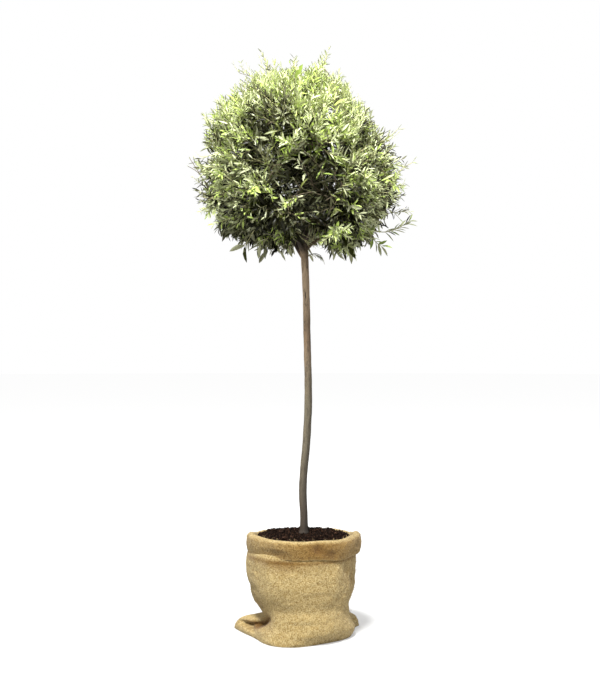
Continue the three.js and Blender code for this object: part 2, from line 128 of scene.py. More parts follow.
class OliveSackSettings(bpy.types.PropertyGroup):
    """The burlap sack."""

    columns: whole_number("Columns", "Mesh columns round the sack", 400, 36)
    pitch: length("Thread pitch", "From one thread to the next", 0.0021, precision=4)
    straw: colour("Straw", "Light threads", (200, 177, 122))
    gold: colour("Gold", "Most threads", (168, 139, 79))
    shade: colour("Shade", "The gaps between threads", (92, 66, 30))
    nub: colour("Nubs", "Thick light spots of the threads", (226, 208, 160))
    # Painted shade on the turned-down cuff, strongest at its front right
    reverse: colour("Reverse", "Tinge of the cloth's turned-down side", (196, 174, 130))
    # Painted shade in the cloth's narrow folds, the ears' grooves, under the hem and on the wall under the
    # cuff
    crease: colour("Creases", "Shade of the deep folds", (166, 138, 80))
    fibres: whole_number("Loose fibres", "Fibres that stand off the folds", 1500)


class OliveSoilSettings(bpy.types.PropertyGroup):
    """The compost in the pot."""

    crumbs: whole_number("Crumbs", "Loose crumbs on the compost", 2600)
    damp: colour("Damp", "Most of the compost", (29, 19, 13))
    dry: colour("Dry", "Drier crumbs", (98, 70, 54))


class OliveStageSettings(bpy.types.PropertyGroup):
    """The camera, the floor and the light."""

    distance: length("Distance", "From the camera to the pot's middle", 2.65)
    height: length("Camera height", "Of the level camera over the floor", 0.7106)
    aside: length("Camera offset", "Of the camera to the right of the pot's middle", -0.00875)
    lens: plain_number("Lens", "Focal length in mm on a 36 mm frame", 54.5)
    floor: colour("Floor", "Pale plain floor", (180, 180, 179))
    near_glow: plain_number("Near glow", "The floor's own light by the pot", 0.36)
    glow: plain_number("Floor glow", "Evens the floor out into the backdrop", 0.86)
    sky: plain_number("Sky", "Light from all round", 0.26)


# ---------------------------------------------------------------------------------------------------
# Numbers and lines


def seeded(seed):
    """A generator of numbers from 0 to 1, the one that the solids' twigs were grown with."""
    mask = 0xFFFFFFFF
    state = ((seed + 1) * 0x9E3779B1) & mask

    def draw():
        nonlocal state
        state = (state + 0x6D2B79F5) & mask
        mixed = ((state ^ (state >> 15)) * (state | 1)) & mask
        mixed ^= (mixed + ((mixed ^ (mixed >> 7)) * (mixed | 61) & mask)) & mask
        return ((mixed ^ (mixed >> 14)) & mask) / 2 ** 32

    return draw


def unit(vector):
    """A vector, or each row of several, at length 1."""
    vector = np.asarray(vector, float)
    return vector / np.maximum(np.linalg.norm(vector, axis=-1, keepdims=True), 1e-12)


def mix(low, high, part):
    """From low to high by a part of the way."""
    return low + (high - low) * part


def smooth_step(value, low, high):
    """From 0 at low to 1 at high, with soft ends."""
    part = np.clip((np.asarray(value, float) - low) / (high - low), 0, 1)
    return part * part * (3 - 2 * part)


def bell(offset, width):
    """1 at an offset of 0, and close to 0 past twice the width."""
    return np.exp(-((offset / width) ** 2))


def local(size, bearing, height, at, level, spread, rise):
    """A size that fades out round a bearing and a spread in degrees, and round a level."""
    across = bell(bearing_gap(bearing, math.radians(at)), math.radians(spread))
    return size * across * bell(height - level, rise)


def uneven(place, *waves):
    """Unevenness at a place: noises of given sizes and scales on top of one another."""
    return sum(size * noise.noise(place * scale) for size, scale in waves)


def bearing_gap(one, other):
    """The angle between two bearings, from 0 to half a turn."""
    return np.abs((one - other + math.pi) % TURN - math.pi)


def polar(bearing, radius, height):
    """A point at a bearing, a radius and a height."""
    return np.array((radius * math.cos(bearing), radius * math.sin(bearing), height))


def even_direction(number, count):
    """One of a count of directions that are spread evenly all round."""
    z = 1 - 2 * (number + 0.5) / count
    return polar(number * GOLDEN_TURN, math.sqrt(1 - z * z), z)


def bow(start, bend, end):
    """A quadratic curve from start to end."""
    return np.array((start, bend, end), float)


def on_bow(line, part):
    """The point of a bow at a share of its way, or the points at several."""
    part = np.asarray(part, float)[..., None]
    return (1 - part) ** 2 * line[0] + 2 * part * (1 - part) * line[1] + part ** 2 * line[2]


def along_bow(line, part):
    """The heading of a bow at a share of its way."""
    part = np.asarray(part, float)[..., None]
    return unit((1 - part) * (line[1] - line[0]) + part * (line[2] - line[1]))


def spin(vector, axis, angle):
    """A vector turned about a unit axis."""
    cosine, sine = math.cos(angle), math.sin(angle)
    return vector * cosine + np.cross(axis, vector) * sine + axis * np.dot(axis, vector) * (1 - cosine)


def cross_to(axis):
    """A unit vector across an axis, level where it can be."""
    level = np.cross(axis, UP)
    if np.linalg.norm(level) < 0.05:
        level = np.cross(axis, (1.0, 0.0, 0.0))
    return unit(level)


# ---------------------------------------------------------------------------------------------------
# Meshes


def make_piece(name, points, faces, materials, replaces=(), indices=None, smooth=True):
    """A mesh object that rides on the tree's one body."""
    mesh = bpy.data.meshes.new(name)
    mesh.from_pydata(np.asarray(points, float).tolist(), [], faces)
    for material in materials:
        mesh.materials.append(material)
    if indices is not None:
        mesh.polygons.foreach_set("material_index", np.asarray(indices, np.int32))
    mesh.polygons.foreach_set("use_smooth", np.full(len(mesh.polygons), smooth))
    mesh.update()
    piece = bpy.data.objects.new(name, mesh)
    bpy.context.collection.objects.link(piece)
    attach(piece, "root")
    if replaces:
        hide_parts(*replaces)
    return piece


class Tubes:
    """Collects round limbs, and makes them into one mesh."""

    def __init__(self):
        self.points, self.faces, self.indices, self.count = [], [], [], 0

    def add(self, line, radii, sides, index=0):
        """A limb along a line of points, with the number of its material."""
        line = np.asarray(line, float)
        headings = unit(np.gradient(line, axis=0))
        aside = cross_to(headings[0])
        angles = np.arange(sides) * TURN / sides
        for place, heading, radius in zip(line, headings, radii):
            aside = unit(aside - heading * np.dot(aside, heading))
            across = np.cross(heading, aside)
            self.points.append(
                place + radius * (np.cos(angles)[:, None] * aside + np.sin(angles)[:, None] * across))
        rings, start = len(line), self.count
        for ring in range(rings - 1):
            low, high = start + ring * sides, start + (ring + 1) * sides
            for side in range(sides):
                after = (side + 1) % sides
                self.faces.append((low + side, low + after, high + after, high + side))
        self.faces.append(tuple(start + side for side in reversed(range(sides))))
        self.faces.append(tuple(start + (rings - 1) * sides + side for side in range(sides)))
        self.indices.extend([index] * ((rings - 1) * sides + 2))
        self.count += rings * sides

    def along(self, line, rings, thick, thin, sides, index=0, scale=1.0):
        """A limb along a bow, from thick at its foot to thin at its tip."""
        radii = np.linspace(thick, thin, rings) * scale
        self.add(on_bow(line, np.linspace(0, 1, rings)), radii, sides, index)

    def piece(self, name, materials, slot, replaces=()):
        points = np.concatenate(self.points)
        return make_piece(name, points, self.faces, materials, replaces, self.indices)


# ---------------------------------------------------------------------------------------------------
# Materials


class Finish:
    """A material with a Principled shader."""

    def __init__(self, name):
        self.material = bpy.data.materials.new(name)
        self.material.use_nodes = True
        self.tree = self.material.node_tree
        self.shader = self.tree.nodes["Principled BSDF"]

    def set(self, **values):
        """Sets the shader's inputs to values or sockets; underscores in their names stand for blanks."""
        for name, value in values.items():
            connect(self.tree, value, self.shader.inputs[name.replace("_", " ")])
        return self.material


def connect(tree, value, target):
    """Links a socket to a node's input, or gives the input a value."""
    if isinstance(value, bpy.types.NodeSocket):
        tree.links.new(value, target)
    else:
        target.default_value = value


def node(tree, kind, **values):
    """A shader node, with its attributes set by name, and its inputs by name or number through `inputs`."""
    made = tree.nodes.new(kind)
    inputs = values.pop("inputs", {})
    for key, value in values.items():
        setattr(made, key, value)
    for key, value in inputs.items():
        connect(tree, value, made.inputs[key])
    return made


def calculate(tree, operation, *values, clamp=False):
    """A Math node's output for one, two or three values or sockets."""
    return node(tree, "ShaderNodeMath", operation=operation, use_clamp=clamp,
                inputs=dict(enumerate(values))).outputs[0]


def blend_colours(tree, factor, low, high, blend_type="MIX"):
    """A Mix node's colour between two colours or sockets."""
    mixer = node(tree, "ShaderNodeMix", data_type="RGBA", blend_type=blend_type)
    connect(tree, factor, mixer.inputs[0])
    for target, value in ((mixer.inputs[6], low), (mixer.inputs[7], high)):
        connect(tree, value if isinstance(value, bpy.types.NodeSocket) else (*value, 1), target)
    return mixer.outputs[2]


def coat(tree, base, *layers):
    """A colour with others laid over it in turn, each with the share to which it covers it."""
    for factor, over in layers:
        base = blend_colours(tree, factor, base, over)
    return base


def remap(tree, value, from_low, from_high, to_low=0.0, to_high=1.0):
    """A value moved from one range to another, and kept within it."""
    return node(tree, "ShaderNodeMapRange", inputs={
        0: value, 1: from_low, 2: from_high, 3: to_low, 4: to_high}).outputs[0]


def noise_at(tree, vector, scale, detail=3.0, roughness=0.55, output="Fac"):
    """Soft noise of a scale at a vector."""
    return node(tree, "ShaderNodeTexNoise", inputs={
        "Vector": vector, "Scale": scale, "Detail": detail, "Roughness": roughness}).outputs[output]


def object_place(tree, stretch=(1, 1, 1)):
    """Object coordinates in metres, stretched."""
    place = node(tree, "ShaderNodeTexCoord").outputs["Object"]
    return node(tree, "ShaderNodeMapping", inputs={0: place, 3: stretch}).outputs[0]


def bump(tree, height, distance, strength=1.0):
    """The normal of a relief of a height that stands for a distance in metres."""
    return node(tree, "ShaderNodeBump", inputs={
        "Height": height, "Distance": distance, "Strength": strength}).outputs[0]


def new_group(name, numbers, outputs):
    """A shader node group that takes a vector and numbers with their defaults, and puts out numbers."""
    group = bpy.data.node_groups.new(name, "ShaderNodeTree")
    group.interface.new_socket("Vector", in_out="INPUT", socket_type="NodeSocketVector")
    for label, default in numbers.items():
        socket = group.interface.new_socket(label, in_out="INPUT", socket_type="NodeSocketFloat")
        socket.default_value = default
    for label in outputs:
        group.interface.new_socket(label, in_out="OUTPUT", socket_type="NodeSocketFloat")
    return group, group.nodes.new("NodeGroupInput").outputs, group.nodes.new("NodeGroupOutput").inputs


def mottle_group():
    """Uneven colour and height at two scales, for bark, compost and cloth alike."""
    if "Mottle" in bpy.data.node_groups:
        return bpy.data.node_groups["Mottle"]
    group, given, out = new_group(
        "Mottle", {"Coarse": 20.0, "Fine": 200.0, "Contrast": 0.5}, ("Mask", "Height"))
    coarse = noise_at(group, given["Vector"], given["Coarse"], detail=4)
    fine = noise_at(group, given["Vector"], given["Fine"], detail=2)
    both = calculate(group, "MULTIPLY_ADD", fine, 0.4, calculate(group, "MULTIPLY", coarse, 0.6))
    low, high = (calculate(group, operation, 0.5, given["Contrast"]) for operation in ("SUBTRACT", "ADD"))
    connect(group, remap(group, both, low, high), out["Mask"])
    connect(group, both, out["Height"])
    return group


def place_group(tree, group, **inputs):
    """A node group in a material, with its own values, and its outputs."""
    return node(tree, "ShaderNodeGroup", node_tree=group, inputs=inputs).outputs


def mottle(tree, coarse, fine, contrast, stretch=(1, 1, 1)):
    """The Mottle group's mask and height on a piece's own coordinates."""
    placed = place_group(tree, mottle_group(), Vector=object_place(tree, stretch), Coarse=coarse, Fine=fine,
                         Contrast=contrast)
    return placed["Mask"], placed["Height"]


# ---------------------------------------------------------------------------------------------------
# The tree's plan: the lines and cells that the solids were grown by

HEAD_MIDDLE = np.array((-0.004, 0.0, 1.12))
SOIL_TOP = 0.252

# The trunk's bends from its foot to its fork, and its radius by height
TRUNK_BENDS = np.array((
    (0.001, 0, 0.2523), (0.001, 0, 0.300), (-0.0015, 0.002, 0.345), (0.0005, 0.004, 0.400),
    (0.008, 0.004, 0.490), (0.012, 0, 0.590), (0.009, -0.004, 0.735), (0.007, -0.002, 0.835),
    (0.0035, 0, 0.935), (0.001, 0, 0.985)))
TRUNK_TAPER = np.array((
    (0.2523, 0.0125), (0.261, 0.0106), (0.285, 0.010), (0.590, 0.0097), (0.740, 0.0090),
    (0.900, 0.0090), (0.930, 0.0094), (0.955, 0.0093), (0.972, 0.0082), (0.985, 0.0070)))

# Rings of foliage masses: how many, how far out, how high and from which bearing, then their boughs' feet,
# from one to the next, the boughs' radius at their feet and how far they arch
MASS_RINGS = (
    SimpleNamespace(name="lower", count=5, radius=0.150, height=1.065, bearing=18,
                    foot=0.958, step=0.007, bough=0.005, arch=0.1),
    SimpleNamespace(name="upper", count=4, radius=0.124, height=1.232, bearing=0,
                    foot=0.972, step=0.003, bough=0.005, arch=0.1),
    SimpleNamespace(name="top", count=1, radius=0.014, height=1.350, bearing=180,
                    foot=0.980, step=0.0, bough=0.0055, arch=0.0),
)
# The boughs' radius at their tips, and how deep their tips are in their mass's cell
BOUGH_TIP = 0.0032
BOUGH_INTO_CELL = 0.014

# Twigs: how many, how far out their tips are as a share of the head and by how much that varies, the room
# round the trunk, how deep the tips are in their mass's cell, and where on a stem they may start
TWIG_COUNT = 66
TWIG_REACH = 0.7
TWIG_JITTER = 0.09
TWIG_TRUNK_ROOM = 0.070
TWIG_IN_CELL = 0.012
TWIG_FEET = (0.12, 0.25, 0.4, 0.55, 0.7, 0.85, 0.96)
TWIG_SEED = 100

# Shoots that stand out of the head: bearing in degrees, reach, height, and whether they are nearly bare
STRAYS = (
    (160, 0.106, 1.420, False), (200, 0.166, 1.388, False), (215, 0.030, 1.406, False),
    (330, 0.058, 1.414, False), (20, 0.150, 1.334, False), (350, 0.205, 1.222, False),
    (12, 0.238, 1.158, False), (352, 0.248, 1.052, False), (176, 0.262, 1.132, True),
    (186, 0.242, 1.088, False), (170, 0.218, 1.292, False))

# Where the foliage stands further out than the head's plain form or, below 0, less far:
# bearing in degrees, height, share, spread in degrees and rise
HEAD_SWELLS = (
    (180, 1.275, 0.05, 35, 0.030), (180, 1.205, -0.10, 40, 0.016), (180, 1.168, 0.15, 40, 0.018),
    (180, 1.110, 0.06, 35, 0.030), (180, 1.020, 0.12, 50, 0.020), (0, 1.300, -0.15, 55, 0.065),
    (0, 1.165, 0.05, 30, 0.018), (0, 1.110, 0.06, 40, 0.025), (0, 1.065, -0.08, 30, 0.018),
    (0, 1.030, -0.16, 45, 0.045), (90, 1.010, 0.06, 70, 0.022), (270, 1.010, 0.06, 70, 0.022),
    (273, 1.085, -0.24, 20, 0.060), (180, 1.265, 0.05, 30, 0.020))


def trunk_line():
    """The trunk's middle as closely set points, through its bends on a centripetal spline."""
    bends = TRUNK_BENDS
    ends = np.vstack((2 * bends[0] - bends[1], bends, 2 * bends[-1] - bends[-2]))
    line = []
    for before, start, end, after in zip(ends, ends[1:], ends[2:], ends[3:]):
        gaps = [np.linalg.norm(b - a) ** 0.5 for a, b in ((before, start), (start, end), (end, after))]
        leave = (start - before) / gaps[0] - (end - before) / (gaps[0] + gaps[1]) + (end - start) / gaps[1]
        arrive = (end - start) / gaps[1] - (after - start) / (gaps[1] + gaps[2]) + (after - end) / gaps[2]
        part = np.linspace(0, 1, 40, endpoint=False)[:, None]
        line.append(
            (2 * part ** 3 - 3 * part ** 2 + 1) * start + (part ** 3 - 2 * part ** 2 + part) * leave * gaps[1]
            + (3 * part ** 2 - 2 * part ** 3) * end + (part ** 3 - part ** 2) * arrive * gaps[1])
    return np.vstack((*line, bends[-1]))


TRUNK_LINE = trunk_line()


def trunk_at(height):
    """The point of the trunk's middle at the share of its length that a height is of its rise."""
    walked = np.concatenate(((0,), np.cumsum(np.linalg.norm(np.diff(TRUNK_LINE, axis=0), axis=1))))
    foot, fork = TRUNK_BENDS[0][2], TRUNK_BENDS[-1][2]
    part = min(max((height - foot) / (fork - foot), 0), 1)
    return np.array([np.interp(part * walked[-1], walked, TRUNK_LINE[:, axis]) for axis in range(3)])


class Plan:
    """The masses of foliage, their boughs and stems, and their twigs, for the head's settings."""

    def __init__(self, head):
        self.head = head
        self.masses = []
        for ring in MASS_RINGS:
            for index in range(ring.count):
                bearing = math.radians(ring.bearing) + TURN * index / ring.count
                middle = polar(bearing, ring.radius, ring.height) + (HEAD_MIDDLE[0], 0, 0)
                self.masses.append(SimpleNamespace(
                    name=f"{ring.name}_{index + 1}", ring=ring, index=index, middle=middle))
        self.middles = np.array([mass.middle for mass in self.masses])
        for mass in self.masses:
            mass.bough = self.bough_line(mass)
            mass.stem = self.stem_line(mass)
            mass.twigs = []
        for tip, draw, stray, bare in self.twig_tips():
            mass = self.mass_of(tip)
            mass.twigs.append(SimpleNamespace(line=self.twig_line(mass, tip, draw), stray=stray, bare=bare))

    def mass_of(self, point):
        """The mass that a point belongs to."""
        return self.masses[int(np.argmin(np.linalg.norm(self.middles - point, axis=1)))]

    def depth_in_cell(self, point, mass):
        """How far a point is inside a mass's cell, or, below 0, outside it."""
        others = self.middles[np.linalg.norm(self.middles - mass.middle, axis=1) > 1e-9]
        across = unit(others - mass.middle)
        return float(np.min(np.sum(((others + mass.middle) / 2 - point) * across, axis=1)))

    def surface(self, direction, scale=1.0):
        """The point on the head's outside in a direction, or at a share of the way there."""
        head = self.head
        x, y, z = direction
        fill = scale * (math.hypot(x, y) ** head.fullness + abs(z) ** head.fullness) ** (-1 / head.fullness)
        tall = head.rise if z > 0 else head.drop
        return HEAD_MIDDLE + fill * np.array((x * head.spread + head.lean * z, y * head.spread, z * tall))

    def share_of_head(self, point):
        """How far out a point lies, as a share of the way to the head's outside."""
        head = self.head
        offset = point - HEAD_MIDDLE
        height = offset[2] / (head.rise if offset[2] > 0 else head.drop)
        flat = math.hypot(offset[0] - head.lean * height, offset[1]) / head.spread
        return (flat ** head.fullness + abs(height) ** head.fullness) ** (1 / head.fullness)

    def outside(self, point):
        """The share of the head at which the foliage ends towards a point: swells, hollows and tufts."""
        offset = point - HEAD_MIDDLE
        bearing, way = math.atan2(offset[1], offset[0]), Vector(unit(offset))
        ends = 1.0 + 0.07 * noise.noise(way * 3.4) + 0.05 * noise.noise(way * 9)
        for at, height, swell, spread, rise in HEAD_SWELLS:
            ends += local(swell, bearing, point[2], at, height, spread, rise)
        return float(ends)

    def bough_line(self, mass):
        """A mass's bough, from the trunk to where it is well into the mass's cell."""
        foot = trunk_at(mass.ring.foot + mass.ring.step * mass.index)
        tip = mix(foot, mass.middle, 0.45)
        while self.depth_in_cell(tip, mass) < BOUGH_INTO_CELL:
            tip = mix(tip, mass.middle, 0.04)
        return bow(foot, mix(foot, tip, 0.45) + UP * mass.ring.arch * np.linalg.norm(tip - foot), tip)

    def stem_line(self, mass):
        """A mass's stem, which goes on from the bough towards the head's outside."""
        forward = along_bow(mass.bough, 1.0)
        foot = mass.bough[2] + forward * SEAT_GAP
        end = mix(mass.middle, self.surface(unit(mass.middle - HEAD_MIDDLE)), 0.35)
        return bow(foot, foot + forward * 0.5 * np.linalg.norm(end - foot), end)

    def twig_tips(self):
        """Tips spread evenly over the head, and then the stray shoots' tips."""
        for number in range(TWIG_COUNT):
            draw = seeded(TWIG_SEED + number)
            tip = self.surface(even_direction(number, TWIG_COUNT), TWIG_REACH + TWIG_JITTER * draw())
            if math.hypot(tip[0], tip[1]) >= TWIG_TRUNK_ROOM or tip[2] >= HEAD_MIDDLE[2]:
                yield tip, draw, False, False
        for number, (bearing, reach, height, bare) in enumerate(STRAYS, TWIG_COUNT):
            yield polar(math.radians(bearing), reach, height), seeded(TWIG_SEED + number), True, bare

    def twig_line(self, mass, tip, draw):
        """A twig from its mass's stem to its tip, which is moved into the mass's cell."""
        while self.depth_in_cell(tip, mass) < TWIG_IN_CELL:
            tip = mix(tip, mass.middle, 0.1)
        nearest = min(TWIG_FEET, key=lambda part: np.linalg.norm(on_bow(mass.stem, part) - tip))
        part = max(0.1, nearest - 0.25 - 0.1 * draw())
        foot = on_bow(mass.stem, part)
        bend = mix(foot, tip, 0.45) + along_bow(mass.stem, part) * 0.14 * np.linalg.norm(tip - foot)
        return bow(foot, bend, tip)


# ---------------------------------------------------------------------------------------------------
# Leaves

# Along a leaf: its share of the length, its share of the half width, and how far its edge is turned up
LEAF_STATIONS = ((0.17, 0.62, 0.4), (0.46, 1.0, 0.5), (0.77, 0.70, 0.4))
LEAF_POINTS = 2 + 4 * len(LEAF_STATIONS)
# How far a leaf's midrib stands above its middle, and how far below it on the under side
RIB_ABOVE, RIB_BELOW = 0.00012, 0.00028


def leaf_faces():
    """Faces of one leaf: its upper side first, then its lower side. Each side has the same number."""
    root, tip, last = 0, 1, len(LEAF_STATIONS) - 1

    def corner(station, which):
        return 2 + 4 * station + "LURD".index(which)

    upper = [(root, corner(0, "R"), corner(0, "U")), (root, corner(0, "U"), corner(0, "L"))]
    for station in range(last):
        upper.append(tuple(corner(*at) for at in (
            (station, "R"), (station + 1, "R"), (station + 1, "U"), (station, "U"))))
        upper.append(tuple(corner(*at) for at in (
            (station, "U"), (station + 1, "U"), (station + 1, "L"), (station, "L"))))
    upper += [(corner(last, "R"), tip, corner(last, "U")), (corner(last, "U"), tip, corner(last, "L"))]
    under = {corner(station, "U"): corner(station, "D") for station in range(last + 1)}
    lower = [tuple(under.get(at, at) for at in reversed(face)) for face in upper]
    return upper + lower


def sharpen_rims(mesh):
    """Marks the leaves' rims as sharp, so that their two sides are shaded apart."""
    rim = np.zeros(LEAF_POINTS, bool)
    rim[[0, 1]] = True
    for station in range(len(LEAF_STATIONS)):
        rim[[2 + 4 * station, 4 + 4 * station]] = True
    edges = np.empty(len(mesh.edges) * 2, np.int32)
    mesh.edges.foreach_get("vertices", edges)
    sharp = rim[edges.reshape(-1, 2) % LEAF_POINTS].all(axis=1)
    mesh.attributes.new("sharp_edge", "BOOLEAN", "EDGE").data.foreach_set("value", sharp)


class Leaves:
    """Collects leaves, and makes them into one mesh with a material for each tint."""

    def __init__(self):
        self.rows = []

    def add(self, root, forward, facing, size, width, curl, tint):
        """One leaf, from its root along its heading, with its upper side turned to where it faces."""
        aside = unit(np.cross(forward, facing))
        self.rows.append((*root, *forward, *aside, size, width, curl, tint))

    def points(self):
        """For each leaf its root, its tip, and then its left, upper, right and lower points by station."""
        rows = np.array(self.rows)
        root, forward, aside = rows[:, 0:3], rows[:, 3:6], rows[:, 6:9]
        size, width, curl = (rows[:, column, None] for column in (9, 10, 11))
        face = np.cross(aside, forward)

        def place(along, wide, high):
            droop = curl * size * (along ** 2 - 0.3 * along)
            return root + forward * size * along + aside * width * wide / 2 + face * (high - droop)

        columns = [place(0.0, 0.0, 0.0), place(1.0, 0.0, 0.0)]
        for along, wide, fold in LEAF_STATIONS:
            rise = width * wide * fold / 2
            columns += [place(along, -wide, rise), place(along, 0.0, RIB_ABOVE),
                        place(along, wide, rise), place(along, 0.0, -RIB_BELOW)]
        return np.stack(columns, axis=1)

    def piece(self, name, tints, replaces=()):
        """The leaves as one mesh, with their tints' materials above and those of their undersides below."""
        pattern = leaf_faces()
        faces = [tuple(corner + start for corner in face)
                 for start in range(0, len(self.rows) * LEAF_POINTS, LEAF_POINTS) for face in pattern]
        upper = np.array(self.rows)[:, 12].astype(int)
        lower = np.array([tint.under for tint in tints])[upper]
        indices = np.repeat(np.stack((upper, lower), axis=1), len(pattern) // 2, axis=1).ravel()
        materials = [tint.material for tint in tints]
        points = self.points().reshape(-1, 3)
        sharpen_rims(make_piece(name, points, faces, materials, replaces, indices).data)


# Kinds of shoot: leaf size by setting, leaf width as a share of it, gap between pairs, shoot length,
# opening of its leaves in degrees at foot and tip, how far they curl, and the shoot's own radius and lift
KINDS = {
    "upright": SimpleNamespace(leaf="upright_leaf", slim=0.165, gap=0.0080, length=(0.055, 0.095),
                               open=(40, 20), curl=0.10, radius=0.0009, lift=0.3),
    "flush": SimpleNamespace(leaf="flush_leaf", slim=0.26, gap=0.0052, length=(0.028, 0.050),
                             open=(62, 35), curl=-0.08, radius=0.0008, lift=0),
    "grown": SimpleNamespace(leaf="grown_leaf", slim=0.20, gap=0.0088, length=(0.045, 0.085),
                             open=(62, 36), curl=0.16, radius=0.0010, lift=0),
    "hanging": SimpleNamespace(leaf="hanging_leaf", slim=0.29, gap=0.0120, length=(0.040, 0.070),
                               open=(66, 42), curl=0.30, radius=0.0011, lift=-0.25),
}
TINTS = ("lime", "fresh", "leafy", "olive", "grey", "deep", "dark", "silver", "dull", "pale")

# Layers of the head: its top, middle, underside and inside, and two that only patches of its front have
TOP, MIDDLE, UNDERSIDE, INSIDE, SHADED, SUNLIT = range(6)

# The chances of each kind of shoot by layer, and for each kind those of the tints from lime to dark by layer
KIND_NAMES = ("upright", "flush", "grown", "hanging")
KIND_CHANCES = ((6, 1, 2, 0), (3, 1.5, 6, 0), (0.3, 1, 2, 6), (1, 0, 7, 0), (2, 0, 7, 0), (2, 3, 5, 0))
# These tints are partly the leaves' age and partly painted light and shade: light tints on the head's top,
# and many dark ones, nearly black, lower down and in its inside
TINT_CHANCES = {
    "upright": ((9, 4, 0, 0, 0, 0, 0), (4, 3, 2, 2, 2, 1, 3), (0, 1, 3, 4, 2, 1, 2), (0, 0, 1, 1, 1, 3, 4),
                (0, 1, 2, 2, 5, 3, 4), (8, 3, 0, 0, 1, 0, 4)),
    "flush": ((8, 3, 0, 0, 0, 0, 0), (5, 4, 2, 0, 0, 0, 0), (5, 4, 2, 0, 0, 0, 0), (1, 1, 2, 3, 1, 2, 0),
              (0, 2, 3, 3, 2, 0, 0), (8, 4, 1, 0, 1, 0, 2)),
    "grown": ((4, 5, 3, 1, 1, 0, 1), (2, 2, 2, 2, 4, 2, 9), (0, 2, 0, 1, 3, 2, 8), (0, 0, 1, 1, 1, 2, 8),
              (0, 1, 1, 2, 4, 4, 8), (6, 3, 0, 0, 3, 0, 7)),
    "hanging": ((0, 0, 0, 1, 1, 5, 7),) * 6,
}
# The chances of the tints on the tufts
BRIGHT_CHANCES = (5, 5, 1, 0, 0, 0, 0)

# The head's foot and height for its layers, the shares of that height from which the top and the middle
# begin, and the share of the way to its outside up to which a point is in its inside
HEAD_FOOT, HEAD_TALL = 0.93, 0.46
TOP_FROM, MIDDLE_FROM = 0.60, 0.30
INSIDE_SHARE = 0.60

# Patches of the head's front: x, height, half width, half height and the layer that their shoots look like,
# and how far back they reach past the head's middle
# The patches' tints are painted light and shade: lighter where the front is sunlit, darker where it is shaded
# and in its hollow
PATCHES = (
    (0.012, 1.085, 0.072, 0.082, INSIDE),
    (-0.062, 1.205, 0.048, 0.070, SHADED),
    (0.075, 1.240, 0.075, 0.055, TOP),
    (-0.195, 1.070, 0.080, 0.105, SUNLIT),
    (0.190, 1.085, 0.080, 0.090, SUNLIT),
)
PATCH_DEPTH = 0.02

# The clear room round the fork: its sides and top, and its radius and top
FORK_LEFT, FORK_RIGHT, FORK_TOP = -0.027, 0.036, 0.997
FORK_RADIUS, FORK_ROUND_TOP = 0.065, 1.015

# Shoots: the radius of their tips, how often one is shortened to fit, how far ahead of its foot the head's
# end is looked up, and to which shares of that end shoots and single leaves may reach
SHOOT_TIP = 0.0004
SHOOT_TRIES = 7
LOOK_AHEAD = 0.06
SHOOT_LIMITS = (0.88, 1.03)
LEAF_LIMIT = 1.06

# Leaves: the share that is missing and the share that has its shoot's own tint, how much a shoot's mean leaf
# and each leaf's width vary, then each leaf's length, its curl, its opening in degrees and its facing
LEAVES_MISSING = 0.06
SHOOTS_OWN_TINT = 0.7
MEAN_SPREAD = (0.85, 1.15)
LEAF_SPREAD = (0.78, 1.15)
CURL_SPREAD = (0.2, 1.6)
OPENING_JITTER, FACING_JITTER = 8, 0.45

# Below these heights a share of the hanging shoots and of all leaves is left out
HANGING_BELOW, HANGING_LEFT_OUT = 1.0, 0.55
THIN_BELOW, THIN_LEFT_OUT = 0.990, 0.4

# From this share of a flushing limb's way its shoots are flush ones, and this share of twigs and of side
# twigs is flushing; then the angle in degrees at which shoots leave a limb, and a side twig's length
FLUSH_FROM = 0.55
FLUSHING_TWIGS, FLUSHING_SIDE_TWIGS = 0.3, 0.25
SHOOT_ANGLES = (28, 62)
SIDE_TWIG_LENGTHS = (0.05, 0.09)

# The limbs' radii at their feet and tips
STEM_RADII = (0.0032, 0.0016)
TWIG_RADII = (0.0023, 0.0009)
SIDE_TWIG_RADII = (0.0013, 0.0008)
SPRIG_RADII = (0.0014, 0.0008)


def pick(draw, chances):
    """The number of one of several chances, drawn by their weights."""
    chances = np.asarray(chances, float)
    return int(draw.choice(len(chances), p=chances / chances.sum()))


def level_of(point):
    """From 0 at the head's underside to 1 at its top."""
    return float(np.clip((point[2] - HEAD_FOOT) / HEAD_TALL, 0, 1))


def layer_of(plan, point):
    """The layer of the head that a point is in."""
    if plan.share_of_head(point) < INSIDE_SHARE:
        return INSIDE
    if point[1] < PATCH_DEPTH:
        for x, height, wide, tall, layer in PATCHES:
            if math.hypot((point[0] - x) / wide, (point[2] - height) / tall) < 1:
                return layer
    level = level_of(point)
    return TOP if level > TOP_FROM else MIDDLE if level > MIDDLE_FROM else UNDERSIDE


def in_fork(point):
    """Whether a point is in the clear room round the fork."""
    between = FORK_LEFT < point[0] < FORK_RIGHT and point[2] < FORK_TOP
    return between or (math.hypot(point[0], point[1]) < FORK_RADIUS and point[2] < FORK_ROUND_TOP)


def leaf_weight(kind_name, level):
    """How far a shoot's leaves lift or, below 0, hang."""
    if kind_name == "hanging":
        return -0.6
    return -0.2 if level < 0.45 else 0.05


